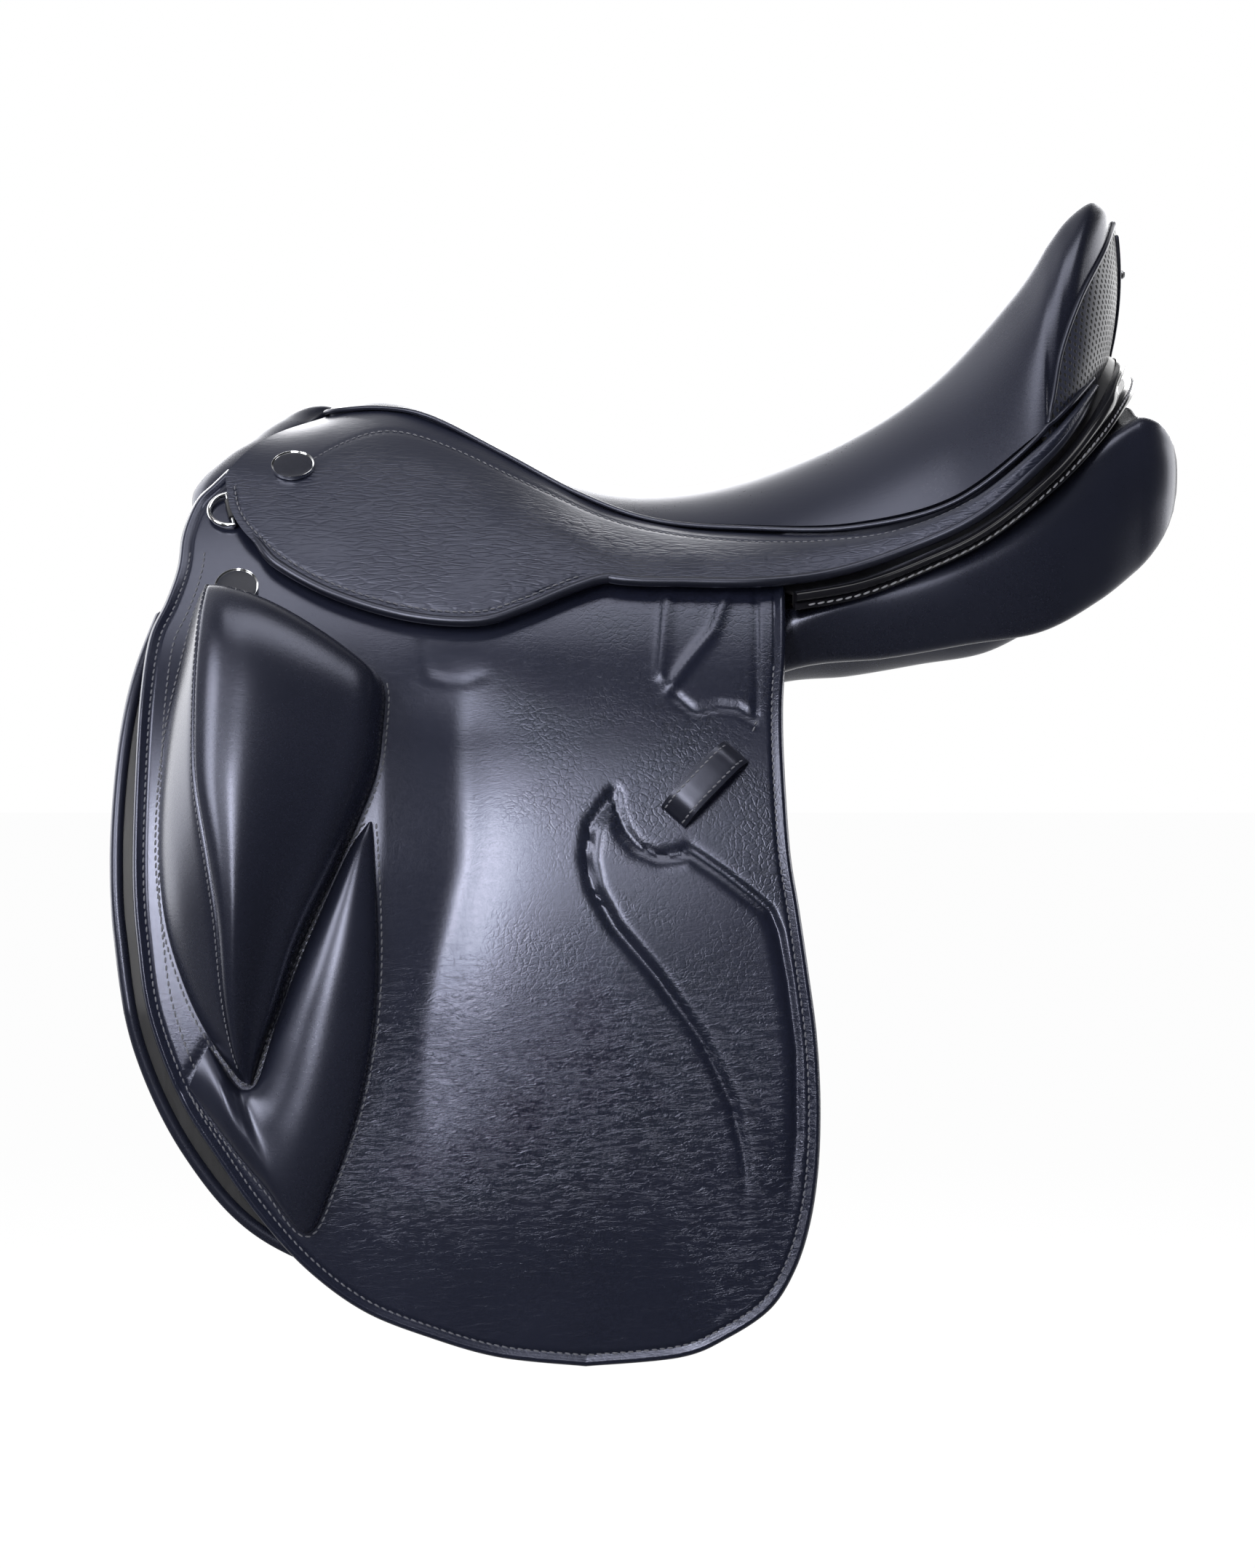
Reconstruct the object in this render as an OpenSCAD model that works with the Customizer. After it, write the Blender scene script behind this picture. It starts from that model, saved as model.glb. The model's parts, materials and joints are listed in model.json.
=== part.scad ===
// Dressage saddle, in millimetres. +X runs to the cantle, +Y to the off side and +Z up.
// The origin lies on the middle plane, at the top of the gullet channel under the seat.
// Each pair of side pieces is drawn on the +Y side and mirrored for the near (left) side.

/* [Seat] */
// Length from the skirt stud to the middle of the cantle
seat_length = 445; // [425:1:465]
// Height of the cantle over the lowest point of the seat
cantle_height = 151; // [135:1:170]
// Thickness of the seat's leather
cover_t = 2.4; // [1.6:0.1:3]
// Depth of the seat's foam
foam_t = 16; // [10:1:18]
// Thickness of the webbing over the tree
webbing_t = 1.6; // [1:0.1:2.4]
// Thickness of the laminated tree
tree_t = 10; // [7:0.5:12]
// Thickness of the steel springs under the tree
spring_t = 2; // [1:0.5:3]
// Radius of the piping along the seams
piping_r = 1.8; // [1.2:0.1:2.2]

/* [Flap] */
// Width across the two flaps at their lower edge
flap_spread = 410; // [400:1:424]
// Drop of the flap below the seat's lowest point
flap_drop = 365; // [345:1:390]
// Width of the flap from front to rear
flap_width = 317; // [305:1:330]
// Thickness of the flap's leather
flap_t = 4.5; // [3:0.1:5.5]
// Thickness of the skirt's leather
skirt_t = 3; // [2:0.1:4]
// Thickness of the patent trim round the cantle
trim_t = 2.6; // [1.6:0.1:3.4]
// Thickness of the sweat flap
sweat_t = 3.5; // [2:0.1:4.5]
// Radius of the rolled welt on the skirt's edge
welt_r = 2.4; // [1.6:0.1:3]
// Height of the knee block over the flap
block_h = 40; // [26:1:46]
// Height of the knee pad over the flap
pad_h = 13; // [6:1:18]

/* [Keeper] */
// Length of the keeper loop
keeper_l = 44; // [38:1:52]
// Width of the keeper loop
keeper_w = 15; // [10:1:20]
// Thickness of the keeper's leather
keeper_t = 2.4; // [1.6:0.1:3]
// Free height under the keeper
keeper_gap = 5; // [4.6:0.1:7]

/* [Panel] */
// Width of the gullet channel between the panels
gullet_w = 66; // [56:1:76]
// Thickness of the padded facing in front of the pommel
arch_t = 9; // [6:0.5:11]

/* [Stirrup bar] */
// Length of the bar that the stirrup leather hangs on
bar_l = 50; // [40:1:54]
// Height of the bar
bar_w = 10; // [8:0.5:12]
// Thickness of the bar
bar_t = 5; // [4:0.1:6]
// Free depth behind the bar for the stirrup leather
bar_slot = 8; // [7:0.1:9]
// Thickness of the bar's base plate
base_t = 3; // [2:0.1:4]
// Length of the safety catch
catch_l = 16; // [12:1:20]
// Diameter of the catch's pin
pin_d = 4; // [3:0.1:5]
// Diameter of the rivets
rivet_d = 5; // [4:0.1:6]
// Thickness of the gullet plate
plate_t = 4; // [3:0.1:5]

/* [Girth straps] */
// Width of a girth strap
strap_w = 25; // [20:1:28]
// Thickness of a girth strap
strap_t = 3.6; // [3:0.1:4.4]
// Drop of the strap's tip below the seat's lowest point
strap_drop = 330; // [318:1:334]
// Number of buckle holes
strap_holes = 6; // [4:1:7]
// Distance between buckle holes
hole_pitch = 18; // [14:0.5:20]
// Diameter of a buckle hole
hole_d = 6; // [4:0.1:7]
// Thickness of the web that a strap hangs on
web_t = 1.5; // [1:0.1:2]

/* [Rings and studs] */
// Diameter of the D-ring's wire
ring_wire = 2.4; // [1.8:0.1:3]
// Radius of the D-ring's bow to the middle of its wire
ring_r = 10.6; // [8:0.1:11.5]
// Wall of the sleeve that holds the D-ring
sleeve_wall = 0.7; // [0.5:0.1:1]
// Length of the sleeve that holds the D-ring
sleeve_l = 12; // [8:0.5:13]
// Diameter of the round studs
stud_d = 21; // [16:0.5:22]
// Height of the round studs
stud_h = 4; // [2.5:0.1:5]
// Diameter of the small stud on the cantle's back
nub_d = 4.5; // [3:0.1:6]

/* [Fits] */
// Gap between layers that lie on one another
layer_gap = 0.4; // [0.3:0.05:0.6]
// Gap between the curved layers inside the seat
bed_gap = 1.1; // [1:0.05:1.4]
// Gap on each side of the fold of the flap and the skirt
fold_gap = 0.5; // [0.4:0.05:0.8]
// Free space on each side of a girth strap, for its swing
swing_gap = 1.7; // [1.5:0.1:2.2]
// Extra room in front of a girth strap, under the hollow back of the flap
strap_room = 1.3; // [1:0.1:1.8]
// Radial clearance of a pivot
pivot_gap = 0.2; // [0.1:0.05:0.3]

/* [Hidden] */
$fn = 48;
leather = [0.11, 0.11, 0.14];
dark_leather = [0.07, 0.07, 0.09];
patent = [0.05, 0.05, 0.06];
steel = [0.75, 0.76, 0.78];
wood = [0.62, 0.47, 0.30];
linen = [0.78, 0.74, 0.66];
foam = [0.86, 0.82, 0.60];
far = 700;
sliver = 0.01;

// Size that the outlines below are drawn at
drawn_seat = 445;
drawn_cantle = 151;
drawn_drop = 365;
drawn_width = 317;

// Seat: the crest line seen from the side (x, z) and the seam along its rim (x, y, z)
crest = [
    [-157, 94], [-150, 97], [-129, 102], [-99, 96], [-61, 76], [-24, 59], [14, 53], [60, 61],
    [109, 82], [150, 112], [190, 156], [214, 186], [228, 198], [241, 204], [249, 200], [253, 196]
];
rim = [
    [-156, 30, 92], [-150, 40, 92], [-126, 51, 92], [-100, 62, 86], [-62, 72.5, 66], [-24, 82, 45],
    [14, 91, 31], [62, 104, 26], [110, 115, 25.5], [158, 123, 37], [197, 126, 67], [205, 116, 83],
    [212, 103, 112], [224, 86, 141], [240, 59, 169], [251, 25, 190]
];
// Depth of the hollow in the middle of the seat at the same stations
dish = [0, 0, 0, 0, 0, 0, 0, 3, 9, 16, 20, 18, 12, 6, 1, 0];
seat_low = 53;
cantle_base = 100;
seat_end = len(rim) - 1;
crown_front = 2.4;
crown_rear = 3.6;

// Depths under the seat's surface
foam_top = cover_t * 2.6 + bed_gap;
foam_low = foam_top + foam_t;
webbing_top = foam_low + bed_gap;
tree_top = webbing_top + webbing_t + bed_gap;
tree_low = tree_top + tree_t;
spring_top = tree_low + bed_gap;
spring_low = spring_top + spring_t;
tree_edge = 0.78;
tree_inner = 0.42;
rivet_x = -133;
rivet_y = 20;

// Side of the saddle: a flared surface whose half-width grows towards the flap's lower edge
flare_low = flap_spread / 2;
flare_in = 150;
flare_base = 1 - flap_drop;
flare_top = 90;
flare_span = flare_top - flare_base;
flare_pow = 3.2;
fold_front = [-194, 51];
fold_rear = [75, -23];
fold_slope = (fold_rear.y - fold_front.y) / (fold_rear.x - fold_front.x);
fold_bulge = 2.4;
strip_h = 5;
straight_z = -205;

// Heights over the flap's outer face, negative towards the horse
ring_h = ring_wire / 2 + pivot_gap + sleeve_wall + 0.2;
skirt_in = 2 * ring_h + 0.2;
skirt_out = skirt_in + skirt_t;
strap_out = -flap_t - swing_gap - strap_room;
strap_in = strap_out - strap_t;
web_out = strap_in - 3 * layer_gap;
sweat_out = strap_in - swing_gap;
sweat_in = sweat_out - sweat_t;
bar_out = -flap_t - 1.2;
bar_in = bar_out - bar_t;
base_out = bar_in - bar_slot;
base_in = base_out - base_t;
plate_out = base_in - layer_gap;
plate_in = plate_out - plate_t;
panel_out = plate_in - 3.5;
panel_low_out = sweat_in - 2 * bed_gap;

// Outlines on the flare (x, z)
flap_edge = [
    [-198, 53], [-212, 39], [-217, 8], [-226, -28], [-229, -80], [-228, -141], [-221, -195],
    [-204, -244], [-171, -293], [-120, -340], [-58, -361], [-19, -365], [24, -361], [65, -339],
    [84, -299], [88, -245], [83, -187], [75, -130], [73, -85], [74, -42], [76, 4]
];
sweat_edge = [
    [-226, -20], [-237, -70], [-239, -122], [-237, -167], [-226, -222], [-203, -270], [-169, -307],
    [-115, -328], [-50, -337], [20, -330], [56, -295], [62, -200], [60, -110], [56, -48]
];
sweat_top = [[40, -45], [-60, -45], [-150, -40], [-200, -24]];
skirt_edge = [
    [-187.5, 25], [-181, 19], [-166, 6], [-139, -8], [-104, -18.5], [-71, -21], [-49, -14.5],
    [-30, -5.5], [-16, 1]
];
welt_line = [
    [-182.6, 16.6], [-167.8, 3.7], [-140, -10.7], [-104, -21.2], [-70, -23.8], [-47, -17.2], [-29, -8.2],
    [-15, -2.2]
];

// Skirt above the fold: its seam under the seat and its lower edge behind the fold
skirt_seam = [
    [-158, 33, 88], [-140, 48, 88.5], [-112, 60.5, 85], [-80, 70, 72], [-44, 80.5, 52], [-10, 89.5, 34.5],
    [25, 98, 25.5], [60, 107, 22], [95, 115, 20.5], [130, 122.5, 23], [165, 127.5, 36.5],
    [195, 129.5, 60], [216, 118, 80], [228, 104, 96]
];
skirt_fold_x = [-197, -170, -135, -95, -50, -8];
skirt_hem = [
    [30, 141, -2], [64, 141, -2], [98, 136, 2.5], [133, 134.5, 13.5], [168, 136, 29.5],
    [200, 133, 55.5], [219.5, 119, 77.5], [230, 105, 93]
];
skirt_crown = 3;

// Cantle: the perforated back between the top seam and its base, and the patent trim
back_seam = [
    [208.5, 116, 84], [214.5, 105.5, 104], [223, 93, 126.5], [234.5, 77.5, 148], [248.5, 51, 171.5],
    [258, 19.5, 185], [259.5, 0, 187]
];
back_base = [
    [211, 115, 82.5], [226.5, 99.5, 99.5], [236, 82, 110], [242, 63, 115], [246, 38, 118],
    [247.5, 14, 119.5], [247.5, 0, 119.5]
];
back_crown = 2.5;
trim_upper = [
    [80, 138, -8], [111, 132.5, -2], [141, 132, 9], [172, 133, 24.5], [204, 130, 51], [226, 111, 77.5],
    [242, 82, 101], [251, 50, 115], [255, 22, 122], [256, 0, 124]
];
trim_lower = [
    [80, 136, -17], [111, 130, -11], [142, 129, 1], [174, 130, 17], [206, 128, 42], [231, 111, 67],
    [248, 82, 88], [257, 50, 100], [261, 22, 106.5], [262, 0, 108]
];

// Padded facing in front of the pommel: its front edge and its edge under the seat and the flap
arch_front = [
    [-164.8, 0, 97], [-172.4, 12, 93.5], [-188, 28, 81.5], [-201, 46, 69], [-211, 63, 57],
    [-217, 76, 44], [-220, 88, 30], [-222, 102, 12], [-227, 113, -8]
];
arch_rear = [
    [-162.3, 0, 88.5], [-163.4, 16, 87.5], [-166, 32, 84.5], [-173, 47, 77], [-182, 63, 68],
    [-191, 77, 57], [-199, 83, 46], [-211, 100, 18], [-219, 113, -8]
];
arch_crown = 3;

// Knee block and pad: base rows from the top to the tip, each [front x, z, rear x, z, crest, share of height]
block_rows = [
    [-203.5, -14, -115, -52.5, 0.08, 0.3, 6], [-204.5, -17, -114, -56, 0.09, 0.66, 6],
    [-206, -24, -113.5, -62, 0.1, 0.88, 5], [-209, -42, -114, -74, 0.12, 1, 3],
    [-214, -74, -116, -94, 0.17, 1, 0],
    [-216, -108, -124, -117, 0.23, 1, 0], [-215, -140, -136, -145, 0.34, 0.95, 0],
    [-210, -170, -149, -173, 0.44, 0.84, 0], [-199, -200, -159, -202, 0.46, 0.66, 0],
    [-187, -221, -167, -223, 0.48, 0.42, 0], [-177, -234, -171, -237, 0.5, 0.12, 0]
];
pad_rows = [
    [-119.6, -118.5, -117.8, -118, 0.5, 0.15, 0], [-128, -131, -116.6, -129, 0.5, 0.5, 0],
    [-140, -158, -115, -154, 0.5, 0.8, 0], [-151.2, -185, -114.2, -185, 0.5, 1, 0],
    [-160.9, -212, -116.5, -217, 0.5, 1, 0], [-166, -229, -123, -250, 0.5, 1, 0],
    [-169.6, -237.4, -133.5, -281, 0.5, 1, 0], [-175.2, -238.6, -145.7, -304, 0.5, 0.95, 0],
    [-179.5, -235, -164, -283.5, 0.5, 0.95, 0], [-184, -228.6, -181, -263, 0.5, 0.85, 0],
    [-190.4, -219.6, -199.4, -238.4, 0.5, 0.3, 0]
];
block_foot = 0.3;
block_edge = 1;

// Places of the fittings on the flare (x, z)
bar_at = [-88, -4];
bar_leg = 9;
tongue_l = 10;
keeper_at = [36, -100];
keeper_turn = 47;
keeper_foot = 9;
ring_at = [-193.4, 34];
ring_turn = -15;
flap_stud_at = [-187, -6.5];
skirt_stud_at = [1, 0.8];
strap_front_x = -36;
strap_rear_x = 20;
strap_pivot_z = -26;
strap_top_z = -13;
web_low_z = -38;
first_hole_z = -212;
nub_z = 168;

// A curve through points, and grids of points

function mix(a, b, t) = a + (b - a) * t;
function unit(v) = v / norm(v);
function blend(a, b, c, d, t) =
    0.5 * (2 * b + (c - a) * t + (2 * a - 5 * b + 4 * c - d) * t * t + (3 * b - a - 3 * c + d) * t * t * t);
function on(p, t) =
    let (n = len(p) - 1, i = max(0, min(floor(t), n - 1)))
    blend(p[max(i - 1, 0)], p[i], p[i + 1], p[min(i + 2, n)], t - i);
function curve(p, n) = [for (k = [0 : n]) on(p, k * (len(p) - 1) / n)];
function loop(p, n) =
    let (m = len(p))
    [for (k = [0 : n - 1])
        let (t = k * m / n, i = floor(t))
        blend(p[(i + m - 1) % m], p[i % m], p[(i + 1) % m], p[(i + 2) % m], t - i)];
function mirrored(p) = [p.x, -p.y, p.z];
function both_sides(p) =
    concat([for (k = [0 : len(p) - 2]) mirrored(p[k])], [for (k = [len(p) - 1 : -1 : 0]) p[k]]);
function flat(grid) = [for (row = grid) each row];
function normal(g, i, j) =
    let (r = len(g) - 1, c = len(g[0]) - 1)
    unit(cross(g[min(i + 1, r)][j] - g[max(i - 1, 0)][j], g[i][min(j + 1, c)] - g[i][max(j - 1, 0)]));
function sunk(g, depth) =
    [for (i = [0 : len(g) - 1]) [for (j = [0 : len(g[0]) - 1]) g[i][j] - normal(g, i, j) * depth]];
function lowered(g, depth) = [for (row = g) [for (p = row) p - [0, 0, depth]]];
function between(a, b, n, crown) =
    [for (k = [0 : len(a) - 1])
        let (along = a[min(k + 1, len(a) - 1)] - a[max(k - 1, 0)], out = unit(cross(along, b[k] - a[k])))
        [for (j = [0 : n]) mix(a[k], b[k], j / n) + out * crown * 4 * j / n * (1 - j / n)]];

// Solid between an outer grid and an inner grid of the same size
module slab(outer, inner) {
    r = len(outer);
    c = len(outer[0]);
    m = r * c;
    edge = concat(
        [for (j = [c - 1 : -1 : 0]) j], [for (i = [1 : r - 1]) i * c],
        [for (j = [1 : c - 1]) (r - 1) * c + j], [for (i = [r - 2 : -1 : 0]) i * c + c - 1]);
    faces = concat(
        [for (i = [0 : r - 2]) for (j = [0 : c - 2])
            let (a = i * c + j) each [[a, a + 1, a + c + 1], [a, a + c + 1, a + c]]],
        [for (i = [0 : r - 2]) for (j = [0 : c - 2])
            let (a = m + i * c + j) each [[a, a + c + 1, a + 1], [a, a + c, a + c + 1]]],
        [for (k = [0 : len(edge) - 2])
            let (a = edge[k], b = edge[k + 1]) each [[a, b, b + m], [a, b + m, a + m]]]);
    polyhedron(concat(flat(outer), flat(inner)), faces);
}

// Solid through closed rings of points, with both ends closed
module loft(rings) {
    r = len(rings);
    c = len(rings[0]);
    first = r * c;
    middles = [for (ring = [rings[0], rings[r - 1]])
        [for (axis = [0 : 2]) sum([for (p = ring) p[axis]]) / c]];
    faces = concat(
        [for (i = [0 : r - 2]) for (j = [0 : c - 1])
            let (a = i * c + j, b = i * c + (j + 1) % c) each [[a, a + c, b + c], [a, b + c, b]]],
        [for (j = [0 : c - 1]) [first, j, (j + 1) % c]],
        [for (j = [0 : c - 1]) [first + 1, (r - 1) * c + (j + 1) % c, (r - 1) * c + j]]);
    polyhedron(concat(flat(rings), middles), faces);
}
function sum(v, k = 0) = k == len(v) - 1 ? v[k] : v[k] + sum(v, k + 1);

// Round tube along a path
module tube(path, r, sides, up = [0, 0, 1]) {
    n = len(path) - 1;
    loft([for (k = [0 : n])
        let (t = unit(path[min(k + 1, n)] - path[max(k - 1, 0)]), a = unit(cross(up, t)), b = cross(t, a))
        [for (j = [0 : sides - 1]) path[k] + r * (a * cos(360 * j / sides) + b * sin(360 * j / sides))]]);
}

// Seat, flare and fold as formulas

function aft(x) = x > 0 ? x * (1 + (seat_length - drawn_seat) / rim[seat_end].x) : x;
function raised(x, z) =
    x > 60 && z > cantle_base
        ? cantle_base + (z - cantle_base) * (seat_low + cantle_height - cantle_base)
            / (seat_low + drawn_cantle - cantle_base)
        : z;
function placed(p) = [aft(p.x), p.y, raised(p.x, p.z)];
function seat(s, v) =
    let (
        c = on([for (p = crest) placed([p.x, 0, p.y])], s),
        e = on([for (p = rim) placed(p)], s),
        power = mix(crown_front, crown_rear, s / seat_end),
        u = min(abs(v) / 0.6, 1),
        hollow = on(dish, s) * pow(1 - u * u, 2))
    [mix(c.x, e.x, v * v), e.y * v, mix(c.z, e.z, pow(abs(v), power)) - hollow];
function seat_grid(s0, s1, rows, v0, v1, cols) =
    [for (i = [0 : rows]) [for (j = [0 : cols]) seat(mix(s0, s1, i / rows), mix(v0, v1, j / cols))]];
function station(x) = lookup(x, [for (i = [0 : seat_end]) [aft(crest[i].x), i]]);
function under_tree(x, y) =
    let (s = station(x), w = on(rim, s).y)
    seat(s, min(y / w, 1)).z - spring_low - 1;

function rise(z) = max(0, (z - flare_base) / flare_span);
function side(z) = flare_low - flare_in * pow(rise(z), flare_pow);
function lean(z) = flare_in * flare_pow / flare_span * pow(rise(z), flare_pow - 1);
function out(z, h) = side(z) + h * sqrt(1 + lean(z) * lean(z));
function proud(x, z, h) =
    let (tilt = atan(lean(z)))
    [x, side(z) + h * cos(tilt), z + h * sin(tilt)];
function fold_point(x) = [x, out(fold_z(x), skirt_out) + fold_bulge, fold_z(x)];
function fold_z(x) = fold_front.y + (x - fold_front.x) * fold_slope;
function on_flap(p) =
    [p.x * flap_width / drawn_width, p.y < 0 ? p.y * flap_drop / drawn_drop : p.y];

// Place on the flare, with +Y outwards and +Z up the slope
module at_flare(p, h) {
    translate([p.x, out(p.y, h), p.y])
        rotate([atan(lean(p.y)), 0, 0])
            children();
}

// Plate that follows the flare between two heights, over all of its length
module flare_plate(z0, z1, h0, h1, steps, straight = -far) {
    levels = [for (k = [0 : steps]) mix(z0, z1, k / steps)];
    translate([-far / 2, 0, 0])
        rotate([90, 0, 90])
            linear_extrude(far)
                polygon(concat(
                    [for (z = levels) [out(max(z, straight), h1), z]],
                    [for (k = [steps : -1 : 0]) [out(max(levels[k], straight), h0), levels[k]]]));
}

// Prism across the saddle from an outline (x, z)
module across(outline) {
    translate([0, far / 2, 0])
        rotate([90, 0, 0])
            linear_extrude(far / 2)
                polygon(outline);
}

// Space below or above the fold, cut square to the leather
module at_fold() {
    a = fold_point(fold_front.x);
    along = unit(fold_point(fold_rear.x) - a);
    tilt = atan(lean((fold_front.y + fold_rear.y) / 2));
    up = unit(cross(along, [0, cos(tilt), sin(tilt)]));
    outward = cross(up, along);
    multmatrix([
        [along.x, outward.x, up.x, a.x], [along.y, outward.y, up.y, a.y], [along.z, outward.z, up.z, a.z]])
        children();
}
module below_fold(drop) {
    at_fold()
        translate([-far, -far, -2 * far - drop])
            cube(2 * far);
}
module above_fold(lift, height) {
    at_fold()
        translate([-far, -far, lift])
            cube([2 * far, 2 * far, height]);
}
module left() {
    mirror([0, 1, 0])
        children();
}

// Tree and seat

module saddle_tree() {
    steps = 18;
    s0 = 1.6;
    s1 = 11.2;
    head = 0.9;
    tail = 1.2;
    ring = concat(
        [for (k = [0 : steps])
            [mix(s0, s1, k / steps), tree_edge, mix(s0 + head, s1 - tail, k / steps), tree_inner]],
        [for (k = [1 : 7]) [s1, tree_edge * (1 - k / 4), s1 - tail, tree_inner * (1 - k / 4)]],
        [for (k = [0 : steps])
            [mix(s1, s0, k / steps), -tree_edge, mix(s1 - tail, s0 + head, k / steps), -tree_inner]],
        [for (k = [1 : 7]) [s0, tree_edge * (k / 4 - 1), s0 + head, tree_inner * (k / 4 - 1)]]);
    n = len(ring);
    top = [for (k = [0 : n])
        let (q = ring[k % n])
        [for (j = [0 : 4]) seat(mix(q[2], q[0], j / 4), mix(q[3], q[1], j / 4))]];
    color(wood)
        difference() {
            band(lowered(top, tree_top), lowered(top, tree_low));
            for (y = [-rivet_y, rivet_y])
                translate([rivet_x, y, 0])
                    cylinder(d = rivet_d + 2 * pivot_gap, h = far / 2);
        }
}

// Closed band between an upper and a lower grid whose last row repeats the first
module band(upper, lower) {
    r = len(upper) - 1;
    c = len(upper[0]);
    m = r * c;
    quads = [for (i = [0 : r - 1]) for (j = [0 : c - 2])
        [i * c + j, i * c + j + 1, ((i + 1) % r) * c + j + 1, ((i + 1) % r) * c + j]];
    walls = [for (i = [0 : r - 1]) let (a = i * c, b = ((i + 1) % r) * c) each [
        [a, b, b + m, a + m], [b + c - 1, a + c - 1, a + c - 1 + m, b + c - 1 + m]]];
    faces = concat(
        [for (q = quads) each [[q[3], q[2], q[1]], [q[3], q[1], q[0]]]],
        [for (q = quads) each [[q[0] + m, q[1] + m, q[2] + m], [q[0] + m, q[2] + m, q[3] + m]]],
        [for (q = walls) each [[q[3], q[2], q[1]], [q[3], q[1], q[0]]]]);
    polyhedron(
        concat(flat([for (i = [0 : r - 1]) upper[i]]), flat([for (i = [0 : r - 1]) lower[i]])),
        [for (f = faces) [f[2], f[1], f[0]]]);
}

// Steel arch whose wings carry the stirrup bars
wing_low = -40;
wing_high = 46;
wing_y = out(wing_high, plate_out);
plate_arch = [
    [wing_y * 0.915, wing_high + 3], [wing_y * 0.68, wing_high + 8.5], [wing_y * 0.354, wing_high + 10.5],
    [0, wing_high + 11]];
module gullet_plate() {
    levels = [for (k = [0 : 10]) mix(wing_low, wing_high, k / 10)];
    fore = rivet_x - 19;
    rear = bar_at.x + bar_l / 2 + 11;
    outer = concat([for (z = levels) [out(z, plate_out), z]], plate_arch);
    inner = concat(
        [for (z = levels) [out(z, plate_in), z]],
        [for (p = plate_arch) p - [p.x > 0 ? plate_t : 0, plate_t]]);
    half = concat(outer, [for (k = [len(inner) - 1 : -1 : 0]) inner[k]]);
    outline = [
        [fore, wing_high + 24], [rivet_x + 17, wing_high + 24], [rivet_x + 21, wing_high],
        [rivet_x + 35, wing_high - 16], [rear - 4, bar_at.y + 16], [rear, bar_at.y - 2],
        [rear - 4, bar_at.y - 16], [bar_at.x - 12, bar_at.y - 20], [rivet_x + 8, wing_low + 2],
        [fore + 6, wing_low + 2], [fore, wing_low + 12]];
    color(steel)
        difference() {
            for (turn = [0, 1])
                mirror([0, turn, 0])
                    intersection() {
                        translate([-far / 2, 0, 0])
                            rotate([90, 0, 90])
                                linear_extrude(far)
                                    polygon(half);
                        translate([0, -sliver, 0])
                            across(outline);
                    }
            for (y = [-rivet_y, rivet_y])
                translate([rivet_x, y, 0])
                    cylinder(d = rivet_d + 2 * pivot_gap, h = far / 2);
            for (turn = [0, 1])
                mirror([0, turn, 0])
                    bar_rivet_holes();
        }
}

module gullet_rivets() {
    low = plate_arch[2].y - plate_t - 1.5;
    high = seat(station(rivet_x), rivet_y / on(rim, station(rivet_x)).y).z - tree_top - 2;
    color(steel)
        for (y = [-rivet_y, rivet_y])
            translate([rivet_x, y, low])
                cylinder(d = rivet_d, h = high - low);
}

module tree_springs() {
    color(steel)
        for (v = [-0.66, 0.52]) {
            strip = seat_grid(2.2, 9.6, 16, v, v + 0.14, 2);
            slab(lowered(strip, spring_top), lowered(strip, spring_low));
        }
}

module seat_webbing() {
    strap = seat_grid(1.7, 11, 18, -0.34, 0.34, 6);
    color(linen)
        slab(lowered(strap, webbing_top), lowered(strap, webbing_top + webbing_t));
}

module seat_foam() {
    pad = seat_grid(0.8, 12.4, 24, -0.8, 0.8, 12);
    color(foam)
        slab(lowered(pad, foam_top), lowered(pad, foam_low));
}

module seat_cover() {
    rows = 34;
    cols = 18;
    hide = [for (i = [0 : rows])
        let (s = mix(0, seat_end - 0.25, i / rows), edge = 1 - (piping_r + 3 * layer_gap) / on(rim, s).y)
        [for (j = [0 : cols]) seat(s, mix(-edge, edge, j / cols))]];
    color(leather)
        slab(hide, sunk(hide, cover_t));
}

module cantle_piping() {
    half = [for (k = [0 : 12]) on([for (p = rim) placed(p)], mix(10.7, seat_end, k / 12)) + [0.6, 0, 0]];
    top = half[12] + [2.5, -half[12].y, 2];
    color(dark_leather)
        tube(both_sides(concat(half, [top])), piping_r, 6, [1, 0, 0]);
}

module cantle_back() {
    seam = curve([for (p = both_sides(back_seam)) placed(p)], 24);
    base = curve([for (p = both_sides(back_base)) placed(p)], 24);
    skin = between(base, seam, 4, back_crown);
    color(leather)
        slab(skin, sunk(skin, cover_t));
}

module cantle_trim() {
    upper = curve([for (p = both_sides(trim_upper)) placed(p)], 36);
    lower = curve([for (p = both_sides(trim_lower)) placed(p)], 36);
    strip = between(lower, upper, 2, 0.8);
    color(patent)
        slab(strip, sunk(strip, trim_t));
}

module cantle_stud() {
    z = raised(far, nub_z);
    share = (nub_z - back_base[6].z) / (back_seam[6].z - back_base[6].z);
    x = aft(mix(back_base[6].x, back_seam[6].x, share)) + back_crown + layer_gap;
    color(steel)
        translate([x, 0, z])
            rotate([0, 90, 0])
                rotate_extrude()
                    polygon([[0, 0], [nub_d / 2, 0], [nub_d / 2, 1.4], [nub_d / 3, 2.4], [0, 2.8]]);
}

module front_arch() {
    front = curve([for (k = [len(arch_front) - 1 : -1 : 0]) arch_front[k]], 16);
    rear = curve([for (k = [len(arch_rear) - 1 : -1 : 0]) arch_rear[k]], 16);
    facing = between(both_sides(front), both_sides(rear), 4, arch_crown);
    color(leather)
        slab(facing, sunk(facing, arch_t));
}

// Skirt above the fold, and the strip of the flap above the fold

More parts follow.
